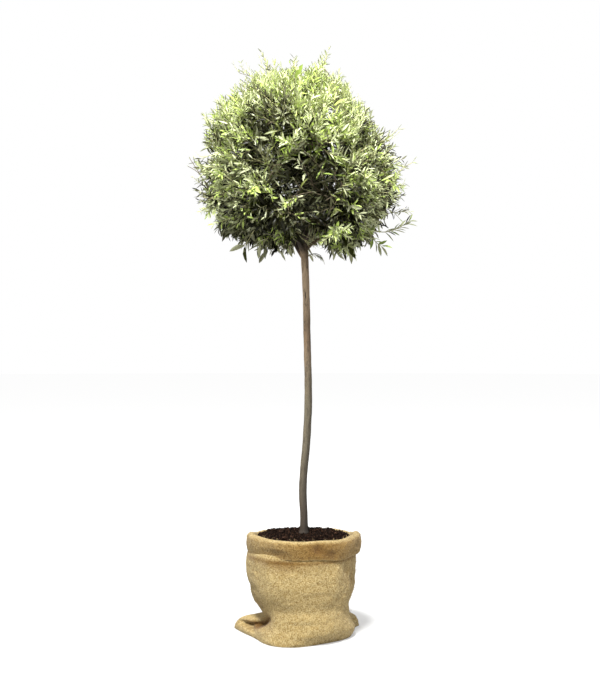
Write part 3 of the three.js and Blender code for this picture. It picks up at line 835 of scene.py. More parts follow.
# Sprigs of the head's edge: mass, where the sprig bends and ends, its pairs of leaves, their length and
# their width as a share of it
SPRIGS = (
    ("lower_1", (0.205, -0.010, 0.985), (0.263, -0.012, 1.032), 9, 0.029, 0.19),
    ("lower_1", (0.170, -0.050, 0.975), (0.190, -0.055, 0.965), 4, 0.034, 0.26),
    ("lower_3", (-0.235, -0.002, 1.115), (-0.286, 0.000, 1.192), 1, 0.009, 0.19),
    ("lower_3", (-0.245, -0.004, 1.150), (-0.289, 0.000, 1.170), 1, 0.007, 0.19),
    ("upper_1", (0.200, -0.010, 1.225), (0.236, -0.010, 1.262), 3, 0.018, 0.19),
    ("lower_1", (0.235, -0.010, 1.160), (0.272, -0.010, 1.178), 3, 0.020, 0.19),
    ("top_1", (-0.080, -0.010, 1.400), (-0.105, -0.010, 1.452), 6, 0.016, 0.20),
    ("top_1", (-0.020, -0.010, 1.400), (-0.024, -0.010, 1.438), 5, 0.019, 0.20),
    ("top_1", (0.045, -0.010, 1.395), (0.058, -0.010, 1.446), 6, 0.018, 0.20),
    ("top_1", (-0.028, -0.140, 1.325), (-0.020, -0.150, 1.352), 1, 0.036, 0.36),
    ("upper_4", (0.055, -0.205, 1.160), (0.016, -0.190, 1.278), 5, 0.020, 0.19),
)

# Sprigs that hang from the head's underside, in the same order
HANGING_SPRIGS = (
    ("lower_4", (-0.085, -0.060, 0.992), (-0.106, -0.068, 0.966), 3, 0.040, 0.33),
    ("lower_4", (-0.130, -0.070, 0.985), (-0.142, -0.076, 0.964), 2, 0.041, 0.34),
    ("lower_3", (-0.070, -0.010, 0.985), (-0.066, -0.020, 0.962), 3, 0.034, 0.30),
    ("lower_4", (-0.045, -0.060, 0.990), (-0.036, -0.064, 0.968), 2, 0.035, 0.32),
    ("lower_5", (0.055, -0.060, 0.985), (0.062, -0.064, 0.968), 2, 0.030, 0.34),
    ("lower_5", (0.095, -0.070, 0.985), (0.108, -0.076, 0.962), 2, 0.042, 0.33),
    ("lower_2", (0.010, 0.110, 0.985), (0.014, 0.125, 0.962), 3, 0.036, 0.31),
    ("lower_1", (0.080, 0.080, 0.985), (0.086, 0.092, 0.964), 3, 0.036, 0.31),
    ("lower_3", (-0.090, 0.080, 0.985), (-0.100, 0.090, 0.964), 3, 0.036, 0.31),
)
SPRIG_TINTS = ("olive", "leafy", "deep", "grey", "fresh")
# The hanging sprigs' deep and dark tints are partly painted shade of the head's underside
HANGING_TINTS = ("deep", "dark", "dark", "deep", "grey")

# Tufts of fresh leaves on the head's front: x, height and how many shoots
TUFTS = ((0.078, 0.992, 12), (0.094, 0.966, 8), (-0.112, 1.094, 6), (-0.040, 1.178, 4), (0.148, 1.107, 6),
         (0.226, 1.105, 5), (-0.010, 1.070, 3), (-0.200, 1.125, 5), (-0.232, 1.060, 4))

# Where the head's shell has fewer leaves than this near a probed place, a twig grows to fill the gap
GAP_PROBES = 1400
GAP_REACH = 0.021
GAP_LEAVES = 6


def front_of_head(plan, x, height):
    """The point just inside the head's front at a sideways place and height."""
    for back in np.arange(0.30, 0.0, -0.004):
        point = np.array((x, -back, height))
        if plan.share_of_head(point) < 0.90 * plan.outside(point):
            return point
    return np.array((x, 0.0, height))


class Growth:
    """The leaves and limbs of one mass of foliage, and the random numbers that they are grown with."""

    def __init__(self, plan, mass, draw):
        self.plan, self.mass, self.draw = plan, mass, draw
        self.leaves, self.tubes = Leaves(), Tubes()

    def spray(self, start, heading, kind_name, loose=1.0, reach=1.0, scale=1.0, sparse=1.0, chances=None):
        """One shoot with its pairs of leaves, each pair a quarter turn on from the last.

        loose is how far out it may go, as a share of the head's end there. reach, scale and sparse are shares
        of its length, its leaves' size and their number, and chances are its tints' own.
        """
        draw, kind, layer = self.draw, KINDS[kind_name], layer_of(self.plan, start)
        chances = chances or TINT_CHANCES[kind_name][layer]
        mean = getattr(self.plan.head, kind.leaf) * draw.uniform(*MEAN_SPREAD) * scale
        if kind_name == "hanging" and start[2] < HANGING_BELOW and draw.random() < HANGING_LEFT_OUT:
            return
        heading, lift = self.turned(start, heading, kind, layer)
        long = draw.uniform(*kind.length) * reach
        outside = self.plan.outside(start + LOOK_AHEAD * heading) * loose
        line, long = self.shoot_line(start, heading, lift, long, mean, draw.uniform(*SHOOT_LIMITS) * outside)
        if line is None:
            return
        self.tubes.along(line, 5, kind.radius, SHOOT_TIP, 4, int(layer != INSIDE))
        self.set_pairs(SimpleNamespace(
            line=line, kind=kind, chances=chances, outside=outside, mean=mean, tint=pick(draw, chances),
            pairs=max(2, int(long / kind.gap * sparse)), outward=unit(start - HEAD_MIDDLE),
            weight=leaf_weight(kind_name, level_of(start))))

    def turned(self, start, heading, kind, layer):
        """A shoot's heading turned up and outwards, or at random inside the head, and how far it lifts."""
        lift = mix(-0.35, 0.75, level_of(start)) + kind.lift
        if layer == INSIDE:
            return unit(heading + 0.9 * self.draw.normal(size=3)), lift
        outward = unit(start - HEAD_MIDDLE)
        return unit(heading + 0.5 * outward + UP * lift + 0.14 * self.draw.normal(size=3)), lift

    def shoot_line(self, start, heading, lift, long, leaf, limit):
        """A shoot's line and length, shortened until its last leaf keeps within the limit, or no line."""
        for _ in range(SHOOT_TRIES):
            end = start + long * unit(heading + UP * 0.15 * lift)
            if self.plan.share_of_head(end + 0.6 * leaf * heading) < limit:
                return bow(start, start + heading * long * 0.5, end), long
            long *= 0.8
        return None, long

    def set_pairs(self, shoot):
        """A shoot's leaves in pairs, the largest a third of the way along it."""
        draw, kind = self.draw, shoot.kind
        turn = draw.uniform(0, TURN)
        for number in range(shoot.pairs):
            part = mix(0.08, 0.97, number / (shoot.pairs - 1))
            axis, place = along_bow(shoot.line, part), on_bow(shoot.line, part)
            side = spin(cross_to(axis), axis, turn + number * TURN / 4 + draw.normal(0, 0.15))
            opening = math.radians(mix(*kind.open, part) + draw.normal(0, OPENING_JITTER))
            grown = shoot.mean * (0.6 + 0.4 * math.sin(math.pi * min(1, part + 0.18)))
            for half in (-1, 1):
                forward = math.cos(opening) * axis + math.sin(opening) * half * side
                self.set_leaf(shoot, place, axis, forward, grown)

    def set_leaf(self, shoot, place, axis, forward, grown):
        """One leaf of a pair, unless it is missing, leaves the head or fills the fork's clear room."""
        draw, kind = self.draw, shoot.kind
        if draw.random() < LEAVES_MISSING:
            return
        forward = unit(forward + UP * shoot.weight + 0.10 * draw.normal(size=3))
        size = grown * draw.uniform(*LEAF_SPREAD)
        if self.plan.share_of_head(place + forward * size) > LEAF_LIMIT * shoot.outside or in_fork(place):
            return
        if place[2] < THIN_BELOW and shoot.chances is not BRIGHT_CHANCES and draw.random() < THIN_LEFT_OUT:
            return
        facing = unit(0.7 * axis + 0.5 * UP + 0.3 * shoot.outward)
        facing = spin(facing, forward, draw.normal(0, FACING_JITTER))
        width = size * kind.slim * draw.uniform(*MEAN_SPREAD)
        curl = kind.curl * draw.uniform(*CURL_SPREAD)
        tint = shoot.tint if draw.random() < SHOOTS_OWN_TINT else pick(draw, shoot.chances)
        self.leaves.add(place, forward, facing, size, width, curl, tint)

    def grow_along(self, line, parts, flushing=False, **more):
        """Side shoots set round a limb at shares of its way."""
        draw = self.draw
        turn = draw.uniform(0, TURN)
        for number, part in enumerate(parts):
            start, axis = on_bow(line, part), along_bow(line, part)
            layer = layer_of(self.plan, start)
            kind_name = KIND_NAMES[pick(draw, KIND_CHANCES[layer])]
            if flushing and part > FLUSH_FROM and layer in (TOP, MIDDLE, SUNLIT):
                kind_name = "flush"
            opening = 0.0 if part >= 1 else math.radians(draw.uniform(*SHOOT_ANGLES))
            side = spin(cross_to(axis), axis, turn + number * GOLDEN_TURN)
            self.spray(start, math.cos(opening) * axis + math.sin(opening) * side, kind_name, **more)

    def grow_stray(self, twig):
        """A thin twig that stands out of the head, with a few small shoots at its end."""
        self.tubes.along(twig.line, 9, *TWIG_RADII, 6, scale=0.6)
        parts = np.linspace(0.72, 1.0, 2 if twig.bare else 5)
        self.grow_along(twig.line, parts, loose=1.6, reach=0.42, scale=0.62, sparse=0.5 if twig.bare else 0.8)
        self.grow_along(twig.line, np.linspace(0.3, 0.66, 5))

    def grow_twig(self, twig):
        """One twig of the plan, with its shoots, its side twigs and a leading shoot at its end."""
        head, draw = self.plan.head, self.draw
        self.tubes.along(twig.line, 9, *TWIG_RADII, 6)
        parts = np.append(np.linspace(0.15, 0.95, head.shoots) + draw.uniform(0, 0.05, head.shoots), 1.0)
        self.grow_along(twig.line, parts, flushing=draw.random() < FLUSHING_TWIGS)
        feet = np.linspace(0.35, 0.9, head.side_twigs) + draw.uniform(-0.04, 0.04, head.side_twigs)
        for part in feet:
            self.grow_side_twig(on_bow(twig.line, part), along_bow(twig.line, part))

    def grow_side_twig(self, start, axis):
        """A finer twig off a twig, with five shoots."""
        draw = self.draw
        side = spin(cross_to(axis), axis, draw.uniform(0, TURN))
        outward = unit(start - HEAD_MIDDLE)
        heading = unit(0.7 * axis + 0.7 * side + 0.3 * outward + UP * mix(-0.2, 0.4, level_of(start)))
        end = start + heading * draw.uniform(*SIDE_TWIG_LENGTHS)
        if self.plan.share_of_head(end) > 0.9:
            end = mix(start, end, 0.5)
        branch = bow(start, mix(start, end, 0.5) + UP * 0.004, end)
        self.tubes.along(branch, 5, *SIDE_TWIG_RADII, 5)
        self.grow_along(branch, (0.3, 0.5, 0.7, 0.88, 1.0), flushing=draw.random() < FLUSHING_SIDE_TWIGS)

    def fill_inside(self):
        """Older, shaded shoots on the mass's stem and on the outer half of its bough."""
        mass, draw = self.mass, self.draw
        limbs = [(mass.stem, np.linspace(0.02, 0.98, 18)), (mass.bough, np.linspace(0.5, 0.98, 6))]
        limbs += [(twig.line, (0.1, 0.25, 0.4, 0.55)) for twig in mass.twigs if not twig.bare]
        for line, parts in limbs:
            turn = draw.uniform(0, TURN)
            for number, part in enumerate(parts):
                start, axis = on_bow(line, part), along_bow(line, part)
                side = spin(cross_to(axis), axis, turn + number * GOLDEN_TURN)
                self.spray(start, unit(0.4 * axis + side), "grown", reach=1.4)

    def nearest_start(self, place):
        """The point of the mass's twigs that is nearest to a place."""
        starts = [on_bow(twig.line, part) for twig in self.mass.twigs for part in (0.5, 0.65, 0.8, 0.95)]
        return min(starts, key=lambda start: np.linalg.norm(start - place))

    def grow_bare_twig(self, place, rise, rings):
        """A thin twig from the mass's nearest twig to a place, and its line."""
        start = self.nearest_start(place)
        line = bow(start, mix(start, place, 0.5) + UP * rise, place)
        self.tubes.along(line, rings, *SIDE_TWIG_RADII, 5)
        return line

    def grow_sprig(self, names, bend, end, pairs, size, slim):
        """A thin sprig that leaves the mass's nearest twig; one pair stands for a single leaf at its end."""
        bend, end, draw = np.array(bend), np.array(end), self.draw
        line = bow(self.nearest_start(bend), bend, end)
        self.tubes.along(line, 12, *SPRIG_RADII, 5, int(pairs > 1))
        for number in range(pairs):
            part = mix(0.45, 0.99, number / max(1, pairs - 1)) if pairs > 1 else 0.97
            axis, turn = along_bow(line, part), draw.uniform(0, TURN)
            for half in (-1, 1) if pairs > 1 else (1,):
                side = half * spin(cross_to(axis), axis, turn)
                forward = unit(axis + side * draw.uniform(0.5, 1.1) + UP * draw.uniform(-0.4, 0.1))
                facing = unit(UP + 0.5 * draw.normal(size=3))
                if pairs == 1:
                    forward, facing = unit(axis + (0.25, 0, 0)), np.array((0.0, -1.0, 0.1))
                long = size * draw.uniform(0.75, 1.15)
                tint = TINTS.index(names[int(draw.integers(len(names)))] if pairs > 1 else "leafy")
                self.leaves.add(on_bow(line, part), forward, facing, long, long * slim, 0.1, tint)

    def grow_tuft(self, place, shoots):
        """A tuft of short fresh shoots on the end of a twig of its own."""
        draw = self.draw
        line = self.grow_bare_twig(place, 0.008, 8)
        for _ in range(shoots):
            foot = on_bow(line, draw.uniform(0.75, 1.0))
            heading = unit(draw.normal(size=3) + (0, -0.6, 0.1))
            self.spray(foot, heading, "flush", loose=1.1, scale=1.1, chances=BRIGHT_CHANCES)

    def grow_all(self):
        """The mass's stem, twigs and shaded inside, and then its sprigs and tufts."""
        self.tubes.along(self.mass.stem, 8, *STEM_RADII, 8)
        for twig in self.mass.twigs:
            if twig.stray:
                self.grow_stray(twig)
            else:
                self.grow_twig(twig)
        self.fill_inside()
        for sprigs, names in ((SPRIGS, SPRIG_TINTS), (HANGING_SPRIGS, HANGING_TINTS)):
            for name, *more in sprigs:
                if name == self.mass.name:
                    self.grow_sprig(names, *more)
        for x, height, shoots in TUFTS:
            place = front_of_head(self.plan, x, height)
            if self.plan.mass_of(place) is self.mass:
                self.grow_tuft(place, shoots)


def fill_gaps(plan, growths, draw):
    """Short twigs with shoots wherever the head's shell is thin, so that no gap shows between the masses."""
    roots = np.array([row[:3] for growth in growths.values() for row in growth.leaves.rows])
    for growth in growths.values():
        growth.draw = draw
    for number in range(GAP_PROBES):
        place = plan.surface(even_direction(number, GAP_PROBES), draw.uniform(0.70, 0.88))
        near = np.count_nonzero(np.linalg.norm(roots - place, axis=1) < GAP_REACH)
        if near >= GAP_LEAVES or in_fork(place) or layer_of(plan, place) in (UNDERSIDE, INSIDE):
            continue
        growth = growths[plan.mass_of(place).name]
        growth.grow_along(growth.grow_bare_twig(place, 0.006, 6), (0.6, 0.8, 1.0))


# ---------------------------------------------------------------------------------------------------
# Finishes

# Height of the brightest painted light on the bark below the fork, and how far from it that painted light
# ends and is full
PAINTED_LIGHT_HEIGHT = 0.870
PAINTED_LIGHT_EDGE = (0.100, 0.040)
# Which tint the undersides of some leaves have; those of the others are silver
UNDERSIDES = {"lime": "pale", "fresh": "pale", "leafy": "pale", "dark": "dull"}


def leaf_material(name, base):
    """A leaf's skin in lighter and darker patches, matt on undersides and half matt on old leaves."""
    made = Finish(f"Leaf {name}")
    tree = made.tree
    is_under = name in ("silver", "dull", "pale")
    patch, fine = (noise_at(tree, object_place(tree), scale, detail=2) for scale in (38, 900))
    darker, lighter = [c * 0.82 for c in base], [min(1, c * 1.16) for c in base]
    return made.set(
        Base_Color=blend_colours(tree, remap(tree, patch, 0.35, 0.65), darker, lighter),
        Roughness=remap(tree, fine, 0.3, 0.7, *((0.62, 0.8) if is_under else (0.36, 0.52))),
        Normal=bump(tree, fine, 0.0002, 0.5),
        Specular_IOR_Level=0.2 if is_under or name in ("deep", "dark") else 0.45)


def leaf_tints(head):
    """The leaves' materials, and for each upper side the number of its underside's."""
    return [SimpleNamespace(material=leaf_material(name, tuple(getattr(head, name))),
                            under=TINTS.index(UNDERSIDES.get(name, "silver"))) for name in TINTS]


def twig_material(name, base):
    """Mottled bark or skin of a twig."""
    made = Finish(name)
    mask, height = mottle(made.tree, 60.0, 700.0, 0.2)
    return made.set(Base_Color=blend_colours(made.tree, mask, [c * 0.6 for c in base], base),
                    Normal=bump(made.tree, height, 0.0006), Roughness=0.75)


def twig_materials(head):
    """Bark for twigs and skin for new shoots."""
    return [twig_material(name, tuple(base))
            for name, base in (("Twig bark", head.twig_bark), ("New shoot", head.shoot_bark))]


def bark_material(wood):
    """Young bark: grey over brown, dark at its foot and in its furrows, with painted light below the fork,
    painted shade under the leaves, and painted light and shade by the side it faces.
    """
    made = Finish("Bark")
    tree = made.tree
    mask, relief = mottle(tree, 170.0, 900.0, 0.16, stretch=(1, 1, 0.16))
    patches = noise_at(tree, object_place(tree, (1, 1, 0.45)), 26, detail=3)
    x, _, height = node(tree, "ShaderNodeSeparateXYZ", inputs={0: object_place(tree)}).outputs
    uneven_edge = remap(tree, patches, 0.36, 0.66, -0.3, 0.3)
    warmth = calculate(tree, "ADD", remap(tree, height, 0.50, 0.80), uneven_edge, clamp=True)
    # Painted light on the bark a hand below the fork, where the head shades it
    from_painted_light = calculate(tree, "ABSOLUTE", calculate(tree, "SUBTRACT", height, PAINTED_LIGHT_HEIGHT))
    skin = coat(tree, wood.grey, (warmth, wood.brown), (remap(tree, from_painted_light, *PAINTED_LIGHT_EDGE), wood.painted_fork_light),
                (remap(tree, height, 0.50, 0.26), wood.foot))
    # Painted light and shade by the side the bark faces: lighter facing left, much darker facing right
    normal = node(tree, "ShaderNodeNewGeometry").outputs["Normal"]
    facing_right = node(tree, "ShaderNodeSeparateXYZ", inputs={0: normal}).outputs[0]
    lit_side_share = remap(tree, facing_right, 0.45, -0.80)
    side_light_and_shade = blend_colours(tree, lit_side_share, (0.40, 0.39, 0.37), (1.06, 1.06, 1.05))
    side_lit_skin = blend_colours(tree, 1.0, skin, side_light_and_shade, "MULTIPLY")
    # Painted shade of the head over the fork: the bark goes dark from about 0.95 m up, lower on the left
    painted_shade_height = calculate(tree, "MULTIPLY_ADD", x, -1.5, height)
    return made.set(
        Base_Color=coat(tree, side_lit_skin, (remap(tree, mask, 0.45, 0.0), wood.dark),
                        (remap(tree, painted_shade_height, 0.950, 0.985, 0, 0.92), wood.dark)),
        Roughness=remap(tree, mask, 0, 1, 0.88, 0.66), Normal=bump(tree, relief, 0.0014))


def compost_material(soil):
    """Damp dark compost with drier bits."""
    made = Finish("Compost")
    tree = made.tree
    mask, relief = mottle(tree, 70.0, 420.0, 0.12)
    dry = remap(tree, noise_at(tree, object_place(tree), 230, detail=2), 0.56, 0.72)
    return made.set(Base_Color=coat(tree, [c * 0.3 for c in soil.damp], (mask, soil.damp), (dry, soil.dry)),
                    Normal=bump(tree, relief, 0.004), Roughness=remap(tree, mask, 0, 1, 0.7, 0.98),
                    Specular_IOR_Level=0.05)


def plastic_material():
    """Black plastic with faint scuffs."""
    made = Finish("Pot plastic")
    tree = made.tree
    mask, relief = mottle(tree, 40.0, 500.0, 0.2)
    return made.set(Base_Color=coat(tree, tone(20, 20, 20), (mask, tone(34, 33, 32))),
                    Roughness=remap(tree, mask, 0, 1, 0.4, 0.6), Normal=bump(tree, relief, 0.0003))


def thread_height(group, axis, places, waves, threads):
    """The height of the threads that run across an axis, and their slubs."""
    other, sign = 1 - axis, (1.0, -1.0)[axis]
    across = calculate(group, "POWER", calculate(group, "ABSOLUTE", waves[axis]), 0.55)
    over = calculate(group, "MULTIPLY", waves[other], calculate(group, "SIGN", waves[axis]))
    lifted = calculate(group, "MULTIPLY_ADD", over, 0.4 * sign, 0.55)
    where = node(group, "ShaderNodeCombineXYZ", inputs={
        0: calculate(group, "MULTIPLY", threads[axis], 7.31),
        1: calculate(group, "MULTIPLY", places[other], 150.0), 2: float(axis)}).outputs[0]
    slub = noise_at(group, where, 1.0, detail=3, roughness=0.6)
    thick = remap(group, slub, 0.3, 0.7, 0.72, 1.15)
    return calculate(group, "MULTIPLY", calculate(group, "MULTIPLY", across, lifted), thick), slub


def weave_group():
    """A plain weave of uneven threads, from a surface's own coordinates in metres."""
    if "Weave" in bpy.data.node_groups:
        return bpy.data.node_groups["Weave"]
    group, given, out = new_group("Weave", {"Pitch": 0.0024}, ("Height", "Slub"))
    wander = noise_at(group, given["Vector"], 55.0, detail=2.0, roughness=0.5, output="Color")
    shift = node(group, "ShaderNodeVectorMath", operation="MULTIPLY_ADD", inputs={
        0: wander, 1: (0.0045, 0.0045, 0), 2: given["Vector"]}).outputs[0]
    places = node(group, "ShaderNodeSeparateXYZ", inputs={0: shift}).outputs
    turns = [calculate(group, "DIVIDE", places[axis], given["Pitch"]) for axis in (0, 1)]
    waves = [calculate(group, "SINE", calculate(group, "MULTIPLY", turn, math.pi)) for turn in turns]
    threads = [calculate(group, "FLOOR", turn) for turn in turns]
    (first, first_slub), (second, second_slub) = (
        thread_height(group, axis, places, waves, threads) for axis in (0, 1))
    slub = node(group, "ShaderNodeMix", data_type="FLOAT", inputs={
        0: calculate(group, "GREATER_THAN", first, second), 2: second_slub, 3: first_slub}).outputs[0]
    crossing = node(group, "ShaderNodeCombineXYZ", inputs=dict(enumerate(threads))).outputs[0]
    single = node(group, "ShaderNodeTexWhiteNoise", inputs={"Vector": crossing}).outputs["Value"]
    uneven_threads = calculate(group, "MULTIPLY_ADD", slub, 0.5, remap(group, single, 0, 1, 0.14, 0.36))
    connect(group, calculate(group, "MAXIMUM", first, second), out["Height"])
    connect(group, uneven_threads, out["Slub"])
    return group


def burlap_material(sack):
    """Burlap: light and golden threads with nubs, dark gaps between them, painted shade in the folds and
    painted shade on the turned-down cuff.
    """
    made = Finish("Burlap")
    tree = made.tree
    flat = node(tree, "ShaderNodeUVMap", uv_map="Cloth").outputs[0]
    weave = place_group(tree, weave_group(), Vector=flat, Pitch=sack.pitch)
    slub, height = weave["Slub"], weave["Height"]
    worn = remap(tree, mottle(tree, 16.0, 90.0, 0.22)[0], 0, 1, 0.25, 0.0)
    cloth = coat(tree, sack.gold, (remap(tree, slub, 0.38, 0.56), sack.straw),
                 (remap(tree, slub, 0.55, 0.68, 0, 0.9), sack.nub),
                 (remap(tree, slub, 0.45, 0.34, 0, 0.6), sack.shade),
                 (remap(tree, height, 0.46, 0.16), sack.shade), (worn, [c * 0.6 for c in sack.gold]))
    # Painted shade, multiplied in: in the folds and grooves, under the hem and on the turned-down cuff
    for name, shade in (("Reverse", sack.reverse), ("Crease", sack.crease)):
        there = node(tree, "ShaderNodeAttribute", attribute_name=name).outputs["Fac"]
        cloth = blend_colours(tree, there, cloth, tuple(shade), "MULTIPLY")
    relief = calculate(tree, "MULTIPLY_ADD", slub, 0.7, height)
    return made.set(Base_Color=cloth, Normal=bump(tree, relief, 0.0011), Roughness=0.92, Sheen_Weight=0.12,
                    Sheen_Roughness=0.6, Specular_IOR_Level=0.2)


# ---------------------------------------------------------------------------------------------------
# The sack

# The sack's wall: height and mean radius
SACK_WALL = np.array((
    (0, 0.121), (0.008, 0.1245), (0.024, 0.125), (0.040, 0.120), (0.058, 0.1155), (0.080, 0.116),
    (0.104, 0.1255), (0.130, 0.133), (0.162, 0.136), (0.207, 0.135), (0.246, 0.1225)))

# How far the upper wall leans to the left, the radius of the sack's flat bottom, and the one that the
# cloth's flat places are measured round
SACK_LEAN = 0.005
BOTTOM_RADIUS = 0.105
FLAT_RADIUS = 0.13

# Ears: bearing, reach and height, their lip's and apron's spread in degrees, and which side has the apron
SACK_EARS = ((161, 0.187, 0.041, 24, 50, 1), (31, 0.169, 0.040, 19, 20, -1))

# More shapes of the cloth: bearing, height, depth, spread and rise of each hollow or, below 0, bulge
SACK_HOLLOWS = (
    (180, 0.052, 0.015, 34, 0.018),
    (5, 0.080, 0.002, 40, 0.016),
    (302, 0.000, 0.022, 40, 0.022),
    (240, 0.000, -0.011, 30, 0.018),
    (355, 0.018, -0.005, 18, 0.018),
    (188, 0.027, 0.016, 8, 0.006),
    (197, 0.033, 0.018, 9, 0.007),
    (206, 0.041, 0.015, 9, 0.009),
    (214, 0.054, 0.009, 8, 0.012),
    (192, 0.049, -0.004, 12, 0.006),
    (270, 0.058, -0.006, 45, 0.022),
    (185, 0.178, -0.003, 40, 0.035),
    (180, 0.128, 0.004, 35, 0.012),
    (180, 0.090, -0.0042, 30, 0.016),
    (338, 0.150, 0.0060, 5, 0.045),
    (350, 0.128, 0.0050, 6, 0.034),
    (325, 0.172, 0.0040, 8, 0.030),
    (272, 0.052, 0.0022, 26, 0.006),
    (205, 0.085, 0.005, 13, 0.022),
    (222, 0.050, 0.005, 9, 0.020),
    (252, 0.120, -0.003, 16, 0.05),
    (95, 0.070, 0.006, 22, 0.018),
    (130, 0.110, 0.004, 11, 0.045),
    (62, 0.120, 0.0045, 10, 0.04),
    (78, 0.030, -0.004, 20, 0.02),
)

# Folds of the cuff: bearing, height, depth, spread and rise
CUFF_HOLLOWS = (
    (284, 0.234, 0.0065, 7, 0.014),
    (297, 0.222, 0.0045, 9, 0.012),
    (312, 0.232, -0.0025, 10, 0.02),
    (240, 0.222, 0.0030, 14, 0.012),
    (342, 0.228, 0.0030, 6, 0.02),
    (184, 0.236, -0.0018, 30, 0.02),
    (60, 0.230, 0.0035, 10, 0.02),
    (118, 0.228, 0.0035, 12, 0.02),
)

# The level of the cuff's hem, and the turn of its cloth there: radius, and how far over that level
CUFF_HEM = 0.2065
CUFF_HEM_TURN = ((0.1364, 0.002), (0.1372, 0), (0.1383, -0.0009), (0.1394, -0.0003), (0.1402, 0.0015))

# Bearings in degrees at which the cuff is pressed in, its hem rides up, its painted shade is at its fullest
# and painted shade lies on the wall under it; then the depth of the first and the height of the last
PRESSED_AT, HEM_RISES_AT, CUFF_SHADE_AT, SHADE_UNDER_CUFF_AT = 226, 268, 286, 250
PRESSED_DEPTH, SHADE_UNDER_CUFF_HEIGHT = 0.0044, 0.193

FIBRE_SEED, FIBRE_RADIUS, FIBRE_LENGTHS = 88, 0.00022, (0.003, 0.009)


def wall_radius(height):
    """The wall's mean radius, smoothed between its rows."""
    fine = np.linspace(-0.02, 0.27, 291)
    rough = np.interp(fine, SACK_WALL[:, 0], SACK_WALL[:, 1])
    kernel = bell(np.arange(-12, 13), 6.0)
    soft = np.convolve(np.pad(rough, 12, "edge"), kernel / kernel.sum(), "valid")
    return np.interp(height, fine, soft)


def folded(folds, height, bearing, sharp=False):
    """How far folds take the cloth in; with sharp, only the narrow ones, for the shade in them."""
    deep = np.zeros(np.broadcast(height, bearing).shape)
    for at, level, depth, spread, rise in folds:
        if not sharp or (depth > 0 and spread < 20):
            deep = deep + local(depth, bearing, height, at, level, spread, rise)
    return deep


def sack_shape(radius, height, bearing, wall):
    """The cloth's distance from the axis, where wall says how much of the wall's shapes it takes."""
    under_cuff = 1 - smooth_step(height, 0.200, 0.240)
    lean = SACK_LEAN * smooth_step(height, 0.070, 0.150) * under_cuff
    shaped = lean * np.cos(bearing) + folded(SACK_HOLLOWS, height, bearing)
    return radius - wall * shaped


def ear_shape(height, bearing, reach):
    """How far the ears stand out, and the painted shade in the groove between each ear's lip and its apron.
    """
    out, shade = np.zeros_like(height), np.zeros_like(height)
    for at, far, tall, lip, apron, side in SACK_EARS:
        aside = (bearing - math.radians(at) + math.pi) % TURN - math.pi
        level = np.clip(height / tall, 0, 1)
        upper = smooth_step(level, 0.15, 0.45)
        front = aside * side > 0
        groove = bell(level - 0.52, 0.15)
        spread = np.where(front, mix(apron, lip, upper), lip) * (1 - 0.55 * groove)
        narrow = np.clip(1 - np.abs(aside) / np.radians(spread), 0, 1)
        power = np.where(front, mix(2.3, 1.1, upper), 1.2)
        out = np.maximum(out, (far - reach) * narrow ** power * np.sqrt(1 - level ** 2))
        off_lip = aside / math.radians(lip)
        beside = smooth_step(np.abs(off_lip), 0.2, 0.5) * bell(off_lip - 0.8, 0.7)
        shade = np.maximum(shade, bell(level - 0.58, 0.2) * beside)
    return out, shade


def sack_rows():
    """The cloth's rows from the middle of its bottom, up its wall and round its cuff.

    Each row has its radius, its height and its shares of the wall's and of the cuff's shapes.
    """
    bottom = [(radius, 0.0, 0.0, 0.0) for radius in np.linspace(0.0, BOTTOM_RADIUS, 8)]
    wall = [(float(wall_radius(height)), float(height), 1.0, 0.0) for height in np.linspace(0.0, 0.234, 140)]
    inside = [(0.1335, 0.233, 0.4, 0.5), (0.1352, 0.225, 0.3, 1.0), (0.1358, 0.214, 0.2, 1.0)]
    hem = [(radius, CUFF_HEM + rise, 0.2, 1.0) for radius, rise in CUFF_HEM_TURN]
    face = [(0.1428 - 0.0026 * abs(mix(-1, 0.55, part)) ** 2.2, mix(CUFF_HEM + 0.003, 0.243, part), 0.15, 1.0)
            for part in np.linspace(0, 1, 22)]
    roll = [(0.1305 + 0.0116 * math.cos(angle), 0.2440 + 0.0115 * math.sin(angle), 0.0, 1.0)
            for angle in np.linspace(0.12, math.pi * 0.93, 17)]
    inner = [(mix(0.1190, 0.1165, part), mix(0.2445, 0.236, part), 0.0, 0.3) for part in (0.0, 0.5, 1.0)]
    return np.array(bottom + wall + inside + hem + face + roll + inner)


def cuff_lift(height, bearing):
    """How much higher the cuff is than its rows: its hem rides up in front, and its back is tucked down."""
    sway = 0.0016 * np.sin(2 * bearing + 1) + 0.0011 * np.sin(5 * bearing + 2.1) \
        + 0.0008 * np.sin(9 * bearing)
    hem = 0.0060 * bell(bearing_gap(bearing, math.radians(HEM_RISES_AT)), 0.55) \
        + 0.0015 * bell(bearing_gap(bearing, 0.0), 0.7) - 0.002 * bell(bearing_gap(bearing, math.pi), 0.5)
    low_part = 1 - smooth_step(height, CUFF_HEM, 0.250)
    top_part = smooth_step(height, 0.225, 0.250)
    back = smooth_step(np.cos(bearing_gap(bearing, math.radians(90))), -0.05, 0.50)
    return (hem + sway) * low_part + (0.6 * sway - 0.0100 * back) * top_part


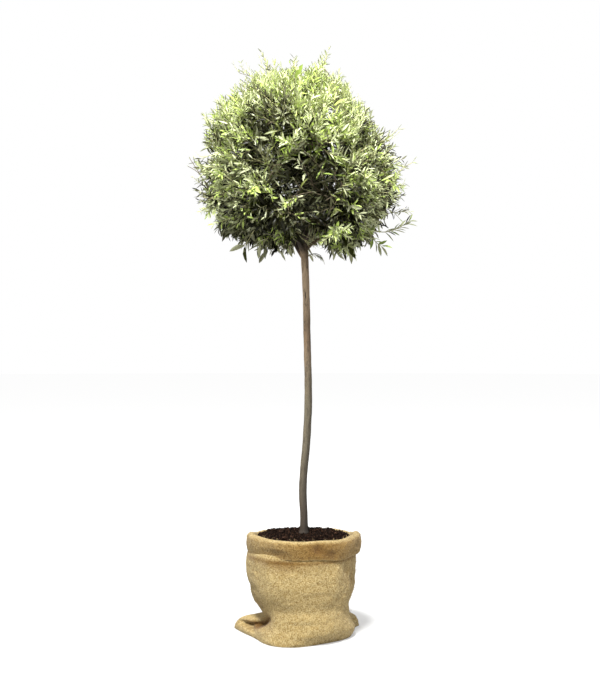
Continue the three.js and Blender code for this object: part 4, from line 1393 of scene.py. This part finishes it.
def cloth_reach(rows, height, bearing):
    """The cloth's distance from the axis at each point, and the painted shade in its ears' grooves."""
    radius, _, wall, cuff = (rows[:, column, None] for column in range(4))
    radius = np.broadcast_to(radius, height.shape)
    reach = sack_shape(radius, height, bearing, wall)
    ears, groove = ear_shape(height, bearing, reach)
    reach = np.where(wall > 0.9, reach + ears, reach) - cuff * folded(CUFF_HOLLOWS, height, bearing)
    in_front = smooth_step(-np.sin(bearing), 0.2, 0.9) * (1 - smooth_step(height, 0.207, 0.243))
    pressed = PRESSED_DEPTH * bell(bearing_gap(bearing, math.radians(PRESSED_AT)), 0.52) \
        * (1 - smooth_step(height, 0.215, 0.240))
    waves = 0.0012 * np.sin(3 * bearing + 0.6) + 0.0009 * np.sin(7 * bearing + 1.9)
    reach = reach - cuff * 0.003 * in_front - cuff * pressed + cuff * waves
    is_bottom = (rows[:, 1] == 0) & (rows[:, 2] == 0)
    edge = reach[int(is_bottom.sum())]
    reach[is_bottom] = (radius[is_bottom] / BOTTOM_RADIUS) ** 1.2 * (edge - 0.010)
    return reach, groove


def cloth_shade(rows, height, bearing, groove):
    """The painted shade in the cloth's narrow folds and grooves, under its hem and on the wall under the
    cuff, from 0 to 1.
    """
    wall, cuff = rows[:, 2, None], rows[:, 3, None]
    shade_under_hem = bell(height - 0.203, 0.006) * (wall > 0.9) * smooth_step(-np.sin(bearing), -0.2, 0.5)
    on_wall = folded(SACK_HOLLOWS, height, bearing, sharp=True) / 0.015 + groove + 0.7 * shade_under_hem
    on_cuff = cuff * folded(CUFF_HOLLOWS, height, bearing, sharp=True) / 0.010
    shade_under_cuff = 0.6 * bell(bearing_gap(bearing, math.radians(SHADE_UNDER_CUFF_AT)), 0.40) * bell(height - SHADE_UNDER_CUFF_HEIGHT, 0.011)
    return np.clip(np.where(wall > 0.9, on_wall, on_cuff) + shade_under_cuff * (wall > 0.9), 0, 1)


def sack_cloth(columns):
    """The cloth's rows and its points, with their flat places in metres, their painted fold shade and their
    painted cuff shade.
    """
    rows = sack_rows()
    bearing = np.linspace(0, TURN, columns + 1)[None, :]
    height = np.broadcast_to(rows[:, 1, None], (len(rows), columns + 1))
    cuff = rows[:, 3, None]
    reach, groove = cloth_reach(rows, height, bearing)
    lifted = height + cuff * cuff_lift(height, bearing)
    path = np.concatenate(((0,), np.cumsum(np.linalg.norm(np.diff(rows[:, :2], axis=0), axis=1))))
    # Painted shade on the turned-down cuff, fullest towards the front right
    most = 0.45 + 0.55 * bell(bearing_gap(bearing, math.radians(CUFF_SHADE_AT)), 0.8)
    turned = smooth_step(height, 0.200, 0.212) * (1 - smooth_step(height, 0.2475, 0.2545))
    return SimpleNamespace(
        rows=rows,
        points=np.stack((reach * np.cos(bearing), reach * np.sin(bearing), lifted), axis=2),
        flat=np.stack(np.broadcast_arrays(bearing * FLAT_RADIUS, path[:, None]), axis=2),
        shade=cloth_shade(rows, height, bearing, groove),
        reverse=(cuff > 0.9) * most * turned)


def rumple(points, amounts):
    """Unevenness of the cloth at three scales, along its own outward direction."""
    moved = points.copy()
    for row, amount in enumerate(amounts):
        if amount <= 0:
            continue
        for column in range(points.shape[1] - 1):
            wave = uneven(Vector(points[row, column]), (0.0024, 22), (0.0013, 61), (0.0005, 170))
            moved[row, column] += unit(points[row, column] * (1, 1, 0)) * wave * amount
        moved[row, -1] = moved[row, 0]
    return moved


def make_sack(sack):
    """The sack as one sheet of cloth, with its painted fold shade, its painted cuff shade and its flat
    places.
    """
    cloth, columns = sack_cloth(sack.columns), sack.columns
    points = rumple(cloth.points, np.where(cloth.rows[:, 1] < 0.004, 0.2, 1.0) * (cloth.rows[:, 0] > 0.112))
    points[..., 2] = np.maximum(points[..., 2], 0.0)
    corners = [row * (columns + 1) + column for row in range(len(points) - 1) for column in range(columns)]
    faces = [(corner, corner + 1, corner + columns + 2, corner + columns + 1) for corner in corners]
    points = points.reshape(-1, 3)
    piece = make_piece("burlap_sack", points, faces, [burlap_material(sack)], ("sack",))
    for name, values in (("Crease", cloth.shade), ("Reverse", cloth.reverse)):
        attribute = piece.data.attributes.new(name, "FLOAT", "POINT")
        attribute.data.foreach_set("value", values.astype(np.float32).ravel())
    at_loops = np.empty(len(piece.data.loops), np.int32)
    piece.data.loops.foreach_get("vertex_index", at_loops)
    flat = cloth.flat.reshape(-1, 2)[at_loops].astype(np.float32).ravel()
    piece.data.uv_layers.new(name="Cloth").data.foreach_set("uv", flat)


def make_fibres(sack):
    """Loose fibres that stand off the cloth, thickest along its top edge."""
    cloth, tubes = sack_cloth(sack.columns), Tubes()
    height, wall, cuff = cloth.rows[:, 1], cloth.rows[:, 2], cloth.rows[:, 3]
    draw = np.random.default_rng(FIBRE_SEED)
    shown = np.flatnonzero(((wall > 0.9) & (height > 0.004) & (height < 0.200)) | (cuff > 0.6))
    rim = np.flatnonzero((cuff > 0.6) & (height > 0.246))
    for number in range(sack.fibres):
        on_rim = number % 3 == 0
        row, column = int(draw.choice(rim if on_rim else shown)), int(draw.integers(0, sack.columns))
        start = cloth.points[row, column]
        out = unit(start * (1, 1, 0))
        heading = unit(out * draw.uniform(0.1, 1.0) + draw.normal(size=3) + UP * (0.6 if on_rim else 0))
        long = draw.uniform(*FIBRE_LENGTHS)
        end = start + heading * long
        if end[2] < 0.001:
            continue
        bend = mix(start, end, 0.5) + out * long * 0.25 + draw.normal(size=3) * long * 0.15
        tubes.along(bow(start - out * 0.0005, bend, end), 5, FIBRE_RADIUS, FIBRE_RADIUS, 3)
    tubes.piece("burlap_fibres", [burlap_material(sack)], "burlap", ("sack",))


# ---------------------------------------------------------------------------------------------------
# The compost

# The compost's radius, its mesh and the height of its edge, then its crumbs' sizes and how common each is
COMPOST_REACH = 0.1165
COMPOST_COLUMNS, COMPOST_RINGS = 160, 52
COMPOST_EDGE = 0.2462
CRUMB_SIZES = (0.0012, 0.0018, 0.0027, 0.0040)
CRUMB_CHANCES = (0.36, 0.32, 0.22, 0.10)
CRUMB_SEED = 31


def soil_height(radius):
    """The compost's height at a radius, level but for its edge."""
    return mix(SOIL_TOP - 0.001, COMPOST_EDGE, (radius / COMPOST_REACH) ** 5)


def compost_surface():
    """The compost's top as points and faces, uneven at three scales."""
    points, faces = [], []
    for ring in range(COMPOST_RINGS + 1):
        for column in range(COMPOST_COLUMNS):
            radius = COMPOST_REACH * (ring / COMPOST_RINGS)
            place = Vector(polar(TURN * column / COMPOST_COLUMNS, radius, 0.0))
            rough = uneven(place, (0.0026, 60), (0.0016, 170), (0.0008, 420))
            points.append((place.x, place.y, soil_height(radius) + rough - 0.001))
    for ring in range(COMPOST_RINGS):
        low, high = ring * COMPOST_COLUMNS, (ring + 1) * COMPOST_COLUMNS
        for column in range(COMPOST_COLUMNS):
            after = (column + 1) % COMPOST_COLUMNS
            faces.append((low + column, high + column, high + after, low + after))
    return points, faces


def crumb_shape():
    """A crumb's twelve corners and twenty faces."""
    golden = (1 + 5 ** 0.5) / 2
    signs = [(s, t) for s in (-1, 1) for t in (-1, 1)]
    ball = unit(np.array([(0, s, t * golden) for s, t in signs] + [(s, t * golden, 0) for s, t in signs]
                         + [(t * golden, 0, s) for s, t in signs], float))
    apart = np.linalg.norm(ball[:, None] - ball[None], axis=2)
    near = (apart > 0.1) & (apart < 1.2)
    faces = []
    for a, b, c in combinations(range(len(ball)), 3):
        if near[a, b] and near[b, c] and near[a, c]:
            outward = np.dot(np.cross(ball[b] - ball[a], ball[c] - ball[a]), ball[a]) > 0
            faces.append((a, b, c) if outward else (a, c, b))
    return ball, faces


def scatter_crumbs(crumbs, points, faces):
    """Adds crumbs of four sizes and all shapes to the compost's points and faces."""
    draw = np.random.default_rng(CRUMB_SEED)
    ball, ball_faces = crumb_shape()
    for _ in range(crumbs):
        radius = COMPOST_REACH * math.sqrt(draw.random()) * 0.985
        bearing = draw.uniform(0, TURN)
        size = draw.choice(CRUMB_SIZES, p=CRUMB_CHANCES) * draw.uniform(0.8, 1.2)
        stretch = draw.uniform(0.6, 1.25, 3)
        lump = ball * draw.uniform(0.75, 1.2, (12, 1)) * stretch * size
        start = len(points)
        points.extend(lump + polar(bearing, radius, soil_height(radius) + size * draw.uniform(-0.3, 0.6)))
        faces.extend(tuple(corner + start for corner in face) for face in ball_faces)


# ---------------------------------------------------------------------------------------------------
# The wood

# Boughs with a thick foot of their own, how far below the bough's line it leaves the trunk, and its radii
COLLARED = ("lower_3", "lower_4")
COLLAR_DROP = 0.034
COLLAR_RADII = (0.0068, 0.0044)
# The level of the trunk's foot, a little way down in the compost
WOOD_FOOT = 0.2480


def collar_line(mass):
    """The line of a bough's thick foot, which leaves the trunk lower down and runs into the bough."""
    foot = trunk_at(mass.bough[0][2] - COLLAR_DROP)
    end = on_bow(mass.bough, 0.5)
    return bow(foot, mix(foot, end, 0.5) + unit((end - foot) * (1, 1, 0)) * 0.005, end)


def wood_tubes(plan):
    """The trunk and its boughs as round limbs that run into one another."""
    tubes = Tubes()
    steps, along = np.linspace(0, 1, 240), np.linspace(0, 1, len(TRUNK_LINE))
    walk = np.array([np.interp(steps, along, TRUNK_LINE[:, axis]) for axis in range(3)]).T
    tubes.add(walk, np.interp(walk[:, 2], TRUNK_TAPER[:, 0], TRUNK_TAPER[:, 1]), 20)
    parts = np.linspace(0, 1, 20)
    for mass in plan.masses:
        tubes.add(on_bow(mass.bough, parts), mix(mass.ring.bough, BOUGH_TIP, parts), 12)
        if mass.name in COLLARED:
            tubes.along(collar_line(mass), len(parts), *COLLAR_RADII, 12)
    return tubes


def blend_limbs(piece, voxel):
    """Blends a piece's limbs into one skin with soft forks."""
    remesh = piece.modifiers.new("Blend", "REMESH")
    remesh.mode = "VOXEL"
    remesh.voxel_size = voxel
    piece.modifiers.new("Soften", "SMOOTH").iterations = 4
    graph = bpy.context.evaluated_depsgraph_get()
    blended = bpy.data.meshes.new_from_object(piece.evaluated_get(graph))
    piece.modifiers.clear()
    bark = piece.data.materials[0]
    piece.data = blended
    if not blended.materials:
        blended.materials.append(bark)


def read_vectors(vertices, attribute):
    """The places or normals of vertices, as rows."""
    values = np.empty(len(vertices) * 3, np.float32)
    vertices.foreach_get(attribute, values)
    return values.reshape(-1, 3)


def roughen_bark(mesh, relief):
    """Sinks long furrows and soft lumps into the bark, and keeps its foot down in the compost."""
    places, normals = read_vectors(mesh.vertices, "co"), read_vectors(mesh.vertices, "normal")
    for index, place in enumerate(places):
        furrow = Vector((place[0] * 190, place[1] * 190, place[2] * 26))
        lump = Vector((place[0] * 50, place[1] * 50, place[2] * 22))
        depth = relief * noise.fractal(furrow, 0.6, 2.0, 3) + 0.0007 * noise.noise(lump)
        places[index] += normals[index] * depth
    places[:, 2] = np.maximum(places[:, 2], WOOD_FOOT)
    mesh.vertices.foreach_set("co", places.ravel())
    mesh.polygons.foreach_set("use_smooth", np.full(len(mesh.polygons), True))
    mesh.update()


# ---------------------------------------------------------------------------------------------------
# The side shoot, just under the fork

SHOOT_HEIGHT, SHOOT_BEARING = 0.944, -12
SHOOT_REACH, SHOOT_RISE = 0.034, 0.002
SHOOT_LEAVES = 8
SHOOT_SEED = 77


def side_shoot():
    """The side shoot's leaves and its twig."""
    leaves, tubes, draw = Leaves(), Tubes(), np.random.default_rng(SHOOT_SEED)
    outward = polar(math.radians(SHOOT_BEARING), 1, 0)
    bark = float(np.interp(SHOOT_HEIGHT, TRUNK_TAPER[:, 0], TRUNK_TAPER[:, 1]))
    foot = trunk_at(SHOOT_HEIGHT) + outward * (bark - 0.002)
    tip = foot + outward * SHOOT_REACH
    tip[2] = SHOOT_HEIGHT + SHOOT_RISE
    line = bow(foot, mix(foot, tip, 0.5) + UP * 0.012, tip)
    tubes.along(line, 8, 0.0014, 0.0005, 6)
    for number in range(SHOOT_LEAVES):
        part = mix(0.35, 1.0, number / (SHOOT_LEAVES - 1))
        forward = along_bow(line, part) - UP * 0.8
        forward = unit(spin(forward, UP, draw.uniform(0.5, 0.9) * (1 if number % 2 else -1)))
        long, tint = draw.uniform(0.016, 0.027), TINTS.index("deep" if number % 3 else "grey")
        leaves.add(on_bow(line, part), forward, unit(outward + UP), long, 0.0050, 0.1, tint)
    return leaves, tubes


# ---------------------------------------------------------------------------------------------------
# The stage

FLOOR_RADIUS, FLOOR_SIDES = 30.0, 96
LAMPS = (  # name, place, target, size and power
    ("Key", (-0.5, -2.2, 3.8), (0, 0, 0.9), 0.6, 320),
    ("Fill", (2.6, -2.4, 2.0), (0, 0, 0.8), 2.5, 50),
    ("Back", (-1.2, 2.8, 2.6), (0, 0, 0.9), 2.5, 60),
)


def place_object(name, data):
    """An object of the scene that isn't one of the tree's pieces."""
    placed = bpy.data.objects.new(name, data)
    bpy.context.collection.objects.link(placed)
    return placed


def set_camera(stage):
    """A level camera in front of the tree."""
    camera = place_object("Camera", bpy.data.cameras.new("Camera"))
    camera.location = (stage.aside, -stage.distance, stage.height)
    camera.rotation_euler = (math.pi / 2, 0, 0)
    camera.data.lens = stage.lens
    camera.data.sensor_width = 36
    bpy.context.scene.camera = camera


def floor_material(stage):
    """Pale floor that glows by itself where the camera sees it, more so further out."""
    made = Finish("Floor")
    tree = made.tree
    seen = node(tree, "ShaderNodeLightPath").outputs["Is Camera Ray"]
    away = node(tree, "ShaderNodeVectorMath", operation="LENGTH", inputs={0: object_place(tree)})
    glow = remap(tree, away.outputs["Value"], 0.18, 0.75, stage.near_glow, stage.glow)
    return made.set(Base_Color=(*stage.floor, 1), Roughness=0.9, Emission_Color=(1, 1, 1, 1),
                    Emission_Strength=calculate(tree, "MULTIPLY", seen, glow), Specular_IOR_Level=0.0)


def lay_floor(stage):
    """A wide round floor, just under the sack."""
    rim = [polar(TURN * side / FLOOR_SIDES, FLOOR_RADIUS, -0.0005) for side in range(FLOOR_SIDES)]
    mesh = bpy.data.meshes.new("floor")
    mesh.from_pydata([tuple(point) for point in rim], [], [tuple(range(FLOOR_SIDES))])
    mesh.materials.append(floor_material(stage))
    place_object("floor", mesh)


def hang_lamps():
    """The key, fill and back lights."""
    for name, place, target, size, power in LAMPS:
        data = bpy.data.lights.new(name, "AREA")
        data.size, data.energy = size, power
        lamp = place_object(name, data)
        lamp.location = place
        lamp.rotation_euler = (Vector(target) - Vector(place)).to_track_quat("-Z", "Y").to_euler()


def set_backdrop(stage):
    """White all round for the camera, and soft light from all round for the tree."""
    world = bpy.data.worlds.new("Studio")
    bpy.context.scene.world = world
    world.use_nodes = True
    tree = world.node_tree
    seen = node(tree, "ShaderNodeLightPath").outputs["Is Camera Ray"]
    background = tree.nodes["Background"].inputs
    connect(tree, remap(tree, seen, 0, 1, stage.sky, 1.0), background["Strength"])
    background["Color"].default_value = (1, 1, 1, 1)
    bpy.context.scene.view_settings.view_transform = "Standard"


# ---------------------------------------------------------------------------------------------------
# Operators

# Seeds of the foliage, one on for each mass, and of the twigs that fill its gaps
FOLIAGE_SEED = 500
GAPS_SEED = 900


class OLIVE_OT_sack(bpy.types.Operator):
    """Sew the burlap sack, with its turned-down cuff and its two ears"""

    bl_idname = "olive.sack"
    bl_label = "Sack"

    def execute(self, context):
        make_sack(context.scene.olive_sack)
        make_fibres(context.scene.olive_sack)
        return {"FINISHED"}


class OLIVE_OT_pot(bpy.types.Operator):
    """Finish the nursery pot inside the sack in black plastic"""

    bl_idname = "olive.pot"
    bl_label = "Pot"

    def execute(self, context):
        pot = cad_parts["pot"]
        pot.data.materials.clear()
        pot.data.materials.append(plastic_material())
        return {"FINISHED"}


class OLIVE_OT_soil(bpy.types.Operator):
    """Fill the pot with crumbly compost"""

    bl_idname = "olive.soil"
    bl_label = "Compost"

    def execute(self, context):
        soil = context.scene.olive_soil
        points, faces = compost_surface()
        scatter_crumbs(soil.crumbs, points, faces)
        make_piece("compost", points, faces, [compost_material(soil)], ("soil",), smooth=False)
        return {"FINISHED"}


class OLIVE_OT_wood(bpy.types.Operator):
    """Grow the trunk and its boughs as one piece of wood with its bark's relief"""

    bl_idname = "olive.wood"
    bl_label = "Trunk and boughs"

    def execute(self, context):
        wood = context.scene.olive_wood
        plan = Plan(context.scene.olive_head)
        names = ["trunk"] + [f"bough_{mass.name}" for mass in plan.masses]
        piece = wood_tubes(plan).piece("trunk_and_boughs", [bark_material(wood)], "bark", names)
        blend_limbs(piece, wood.voxel)
        roughen_bark(piece.data, wood.relief)
        return {"FINISHED"}


class OLIVE_OT_foliage(bpy.types.Operator):
    """Grow each foliage mass's twigs, shoots and leaves on from its bough"""

    bl_idname = "olive.foliage"
    bl_label = "Foliage"

    def execute(self, context):
        head = context.scene.olive_head
        plan, growths = Plan(head), {}
        for number, mass in enumerate(plan.masses):
            growths[mass.name] = Growth(plan, mass, np.random.default_rng(FOLIAGE_SEED + number))
            growths[mass.name].grow_all()
        fill_gaps(plan, growths, np.random.default_rng(GAPS_SEED))
        tints, barks = leaf_tints(head), twig_materials(head)
        for name, growth in growths.items():
            replaced = (f"foliage_{name}",)
            growth.leaves.piece(f"leaves_{name}", tints, replaced)
            growth.tubes.piece(f"twigs_{name}", barks, "bark", replaced)
        return {"FINISHED"}


class OLIVE_OT_side_shoot(bpy.types.Operator):
    """Grow the small leafy shoot on the trunk, just under the fork"""

    bl_idname = "olive.side_shoot"
    bl_label = "Side shoot"

    def execute(self, context):
        head = context.scene.olive_head
        tints, barks = leaf_tints(head), twig_materials(head)
        leaves, tubes = side_shoot()
        leaves.piece("leaves_side_shoot", tints, ("side_shoot",))
        tubes.piece("twig_side_shoot", barks, "bark", ("side_shoot",))
        return {"FINISHED"}


class OLIVE_OT_stage(bpy.types.Operator):
    """Set the camera, the floor and the light"""

    bl_idname = "olive.stage"
    bl_label = "Stage"

    def execute(self, context):
        stage = context.scene.olive_stage
        set_camera(stage)
        lay_floor(stage)
        hang_lamps()
        set_backdrop(stage)
        return {"FINISHED"}


class OLIVE_PT_panel(bpy.types.Panel):
    """The tree's steps and settings in the sidebar"""

    bl_idname = "OLIVE_PT_panel"
    bl_label = "Olive Tree"
    bl_space_type = "VIEW_3D"
    bl_region_type = "UI"
    bl_category = "Olive"

    def draw(self, context):
        for step in STEPS:
            self.layout.operator(step.bl_idname)
        for name in SETTINGS:
            group = getattr(context.scene, name)
            box = self.layout.box()
            for key in group.__annotations__:
                box.prop(group, key)


STEPS = (OLIVE_OT_stage, OLIVE_OT_sack, OLIVE_OT_pot, OLIVE_OT_soil, OLIVE_OT_wood, OLIVE_OT_foliage,
         OLIVE_OT_side_shoot)
SETTINGS = {
    "olive_head": OliveHeadSettings,
    "olive_wood": OliveWoodSettings,
    "olive_sack": OliveSackSettings,
    "olive_soil": OliveSoilSettings,
    "olive_stage": OliveStageSettings,
}


def register():
    for group in (*SETTINGS.values(), *STEPS, OLIVE_PT_panel):
        bpy.utils.register_class(group)
    for name, group in SETTINGS.items():
        setattr(bpy.types.Scene, name, PointerProperty(type=group))


def unregister():
    for name in SETTINGS:
        delattr(bpy.types.Scene, name)
    for group in reversed((*SETTINGS.values(), *STEPS, OLIVE_PT_panel)):
        bpy.utils.unregister_class(group)


def main():
    """Builds the tree with its operators in order."""
    register()
    for step in STEPS:
        area, name = step.bl_idname.split(".")
        getattr(getattr(bpy.ops, area), name)()


if __name__ == "__main__":
    main()
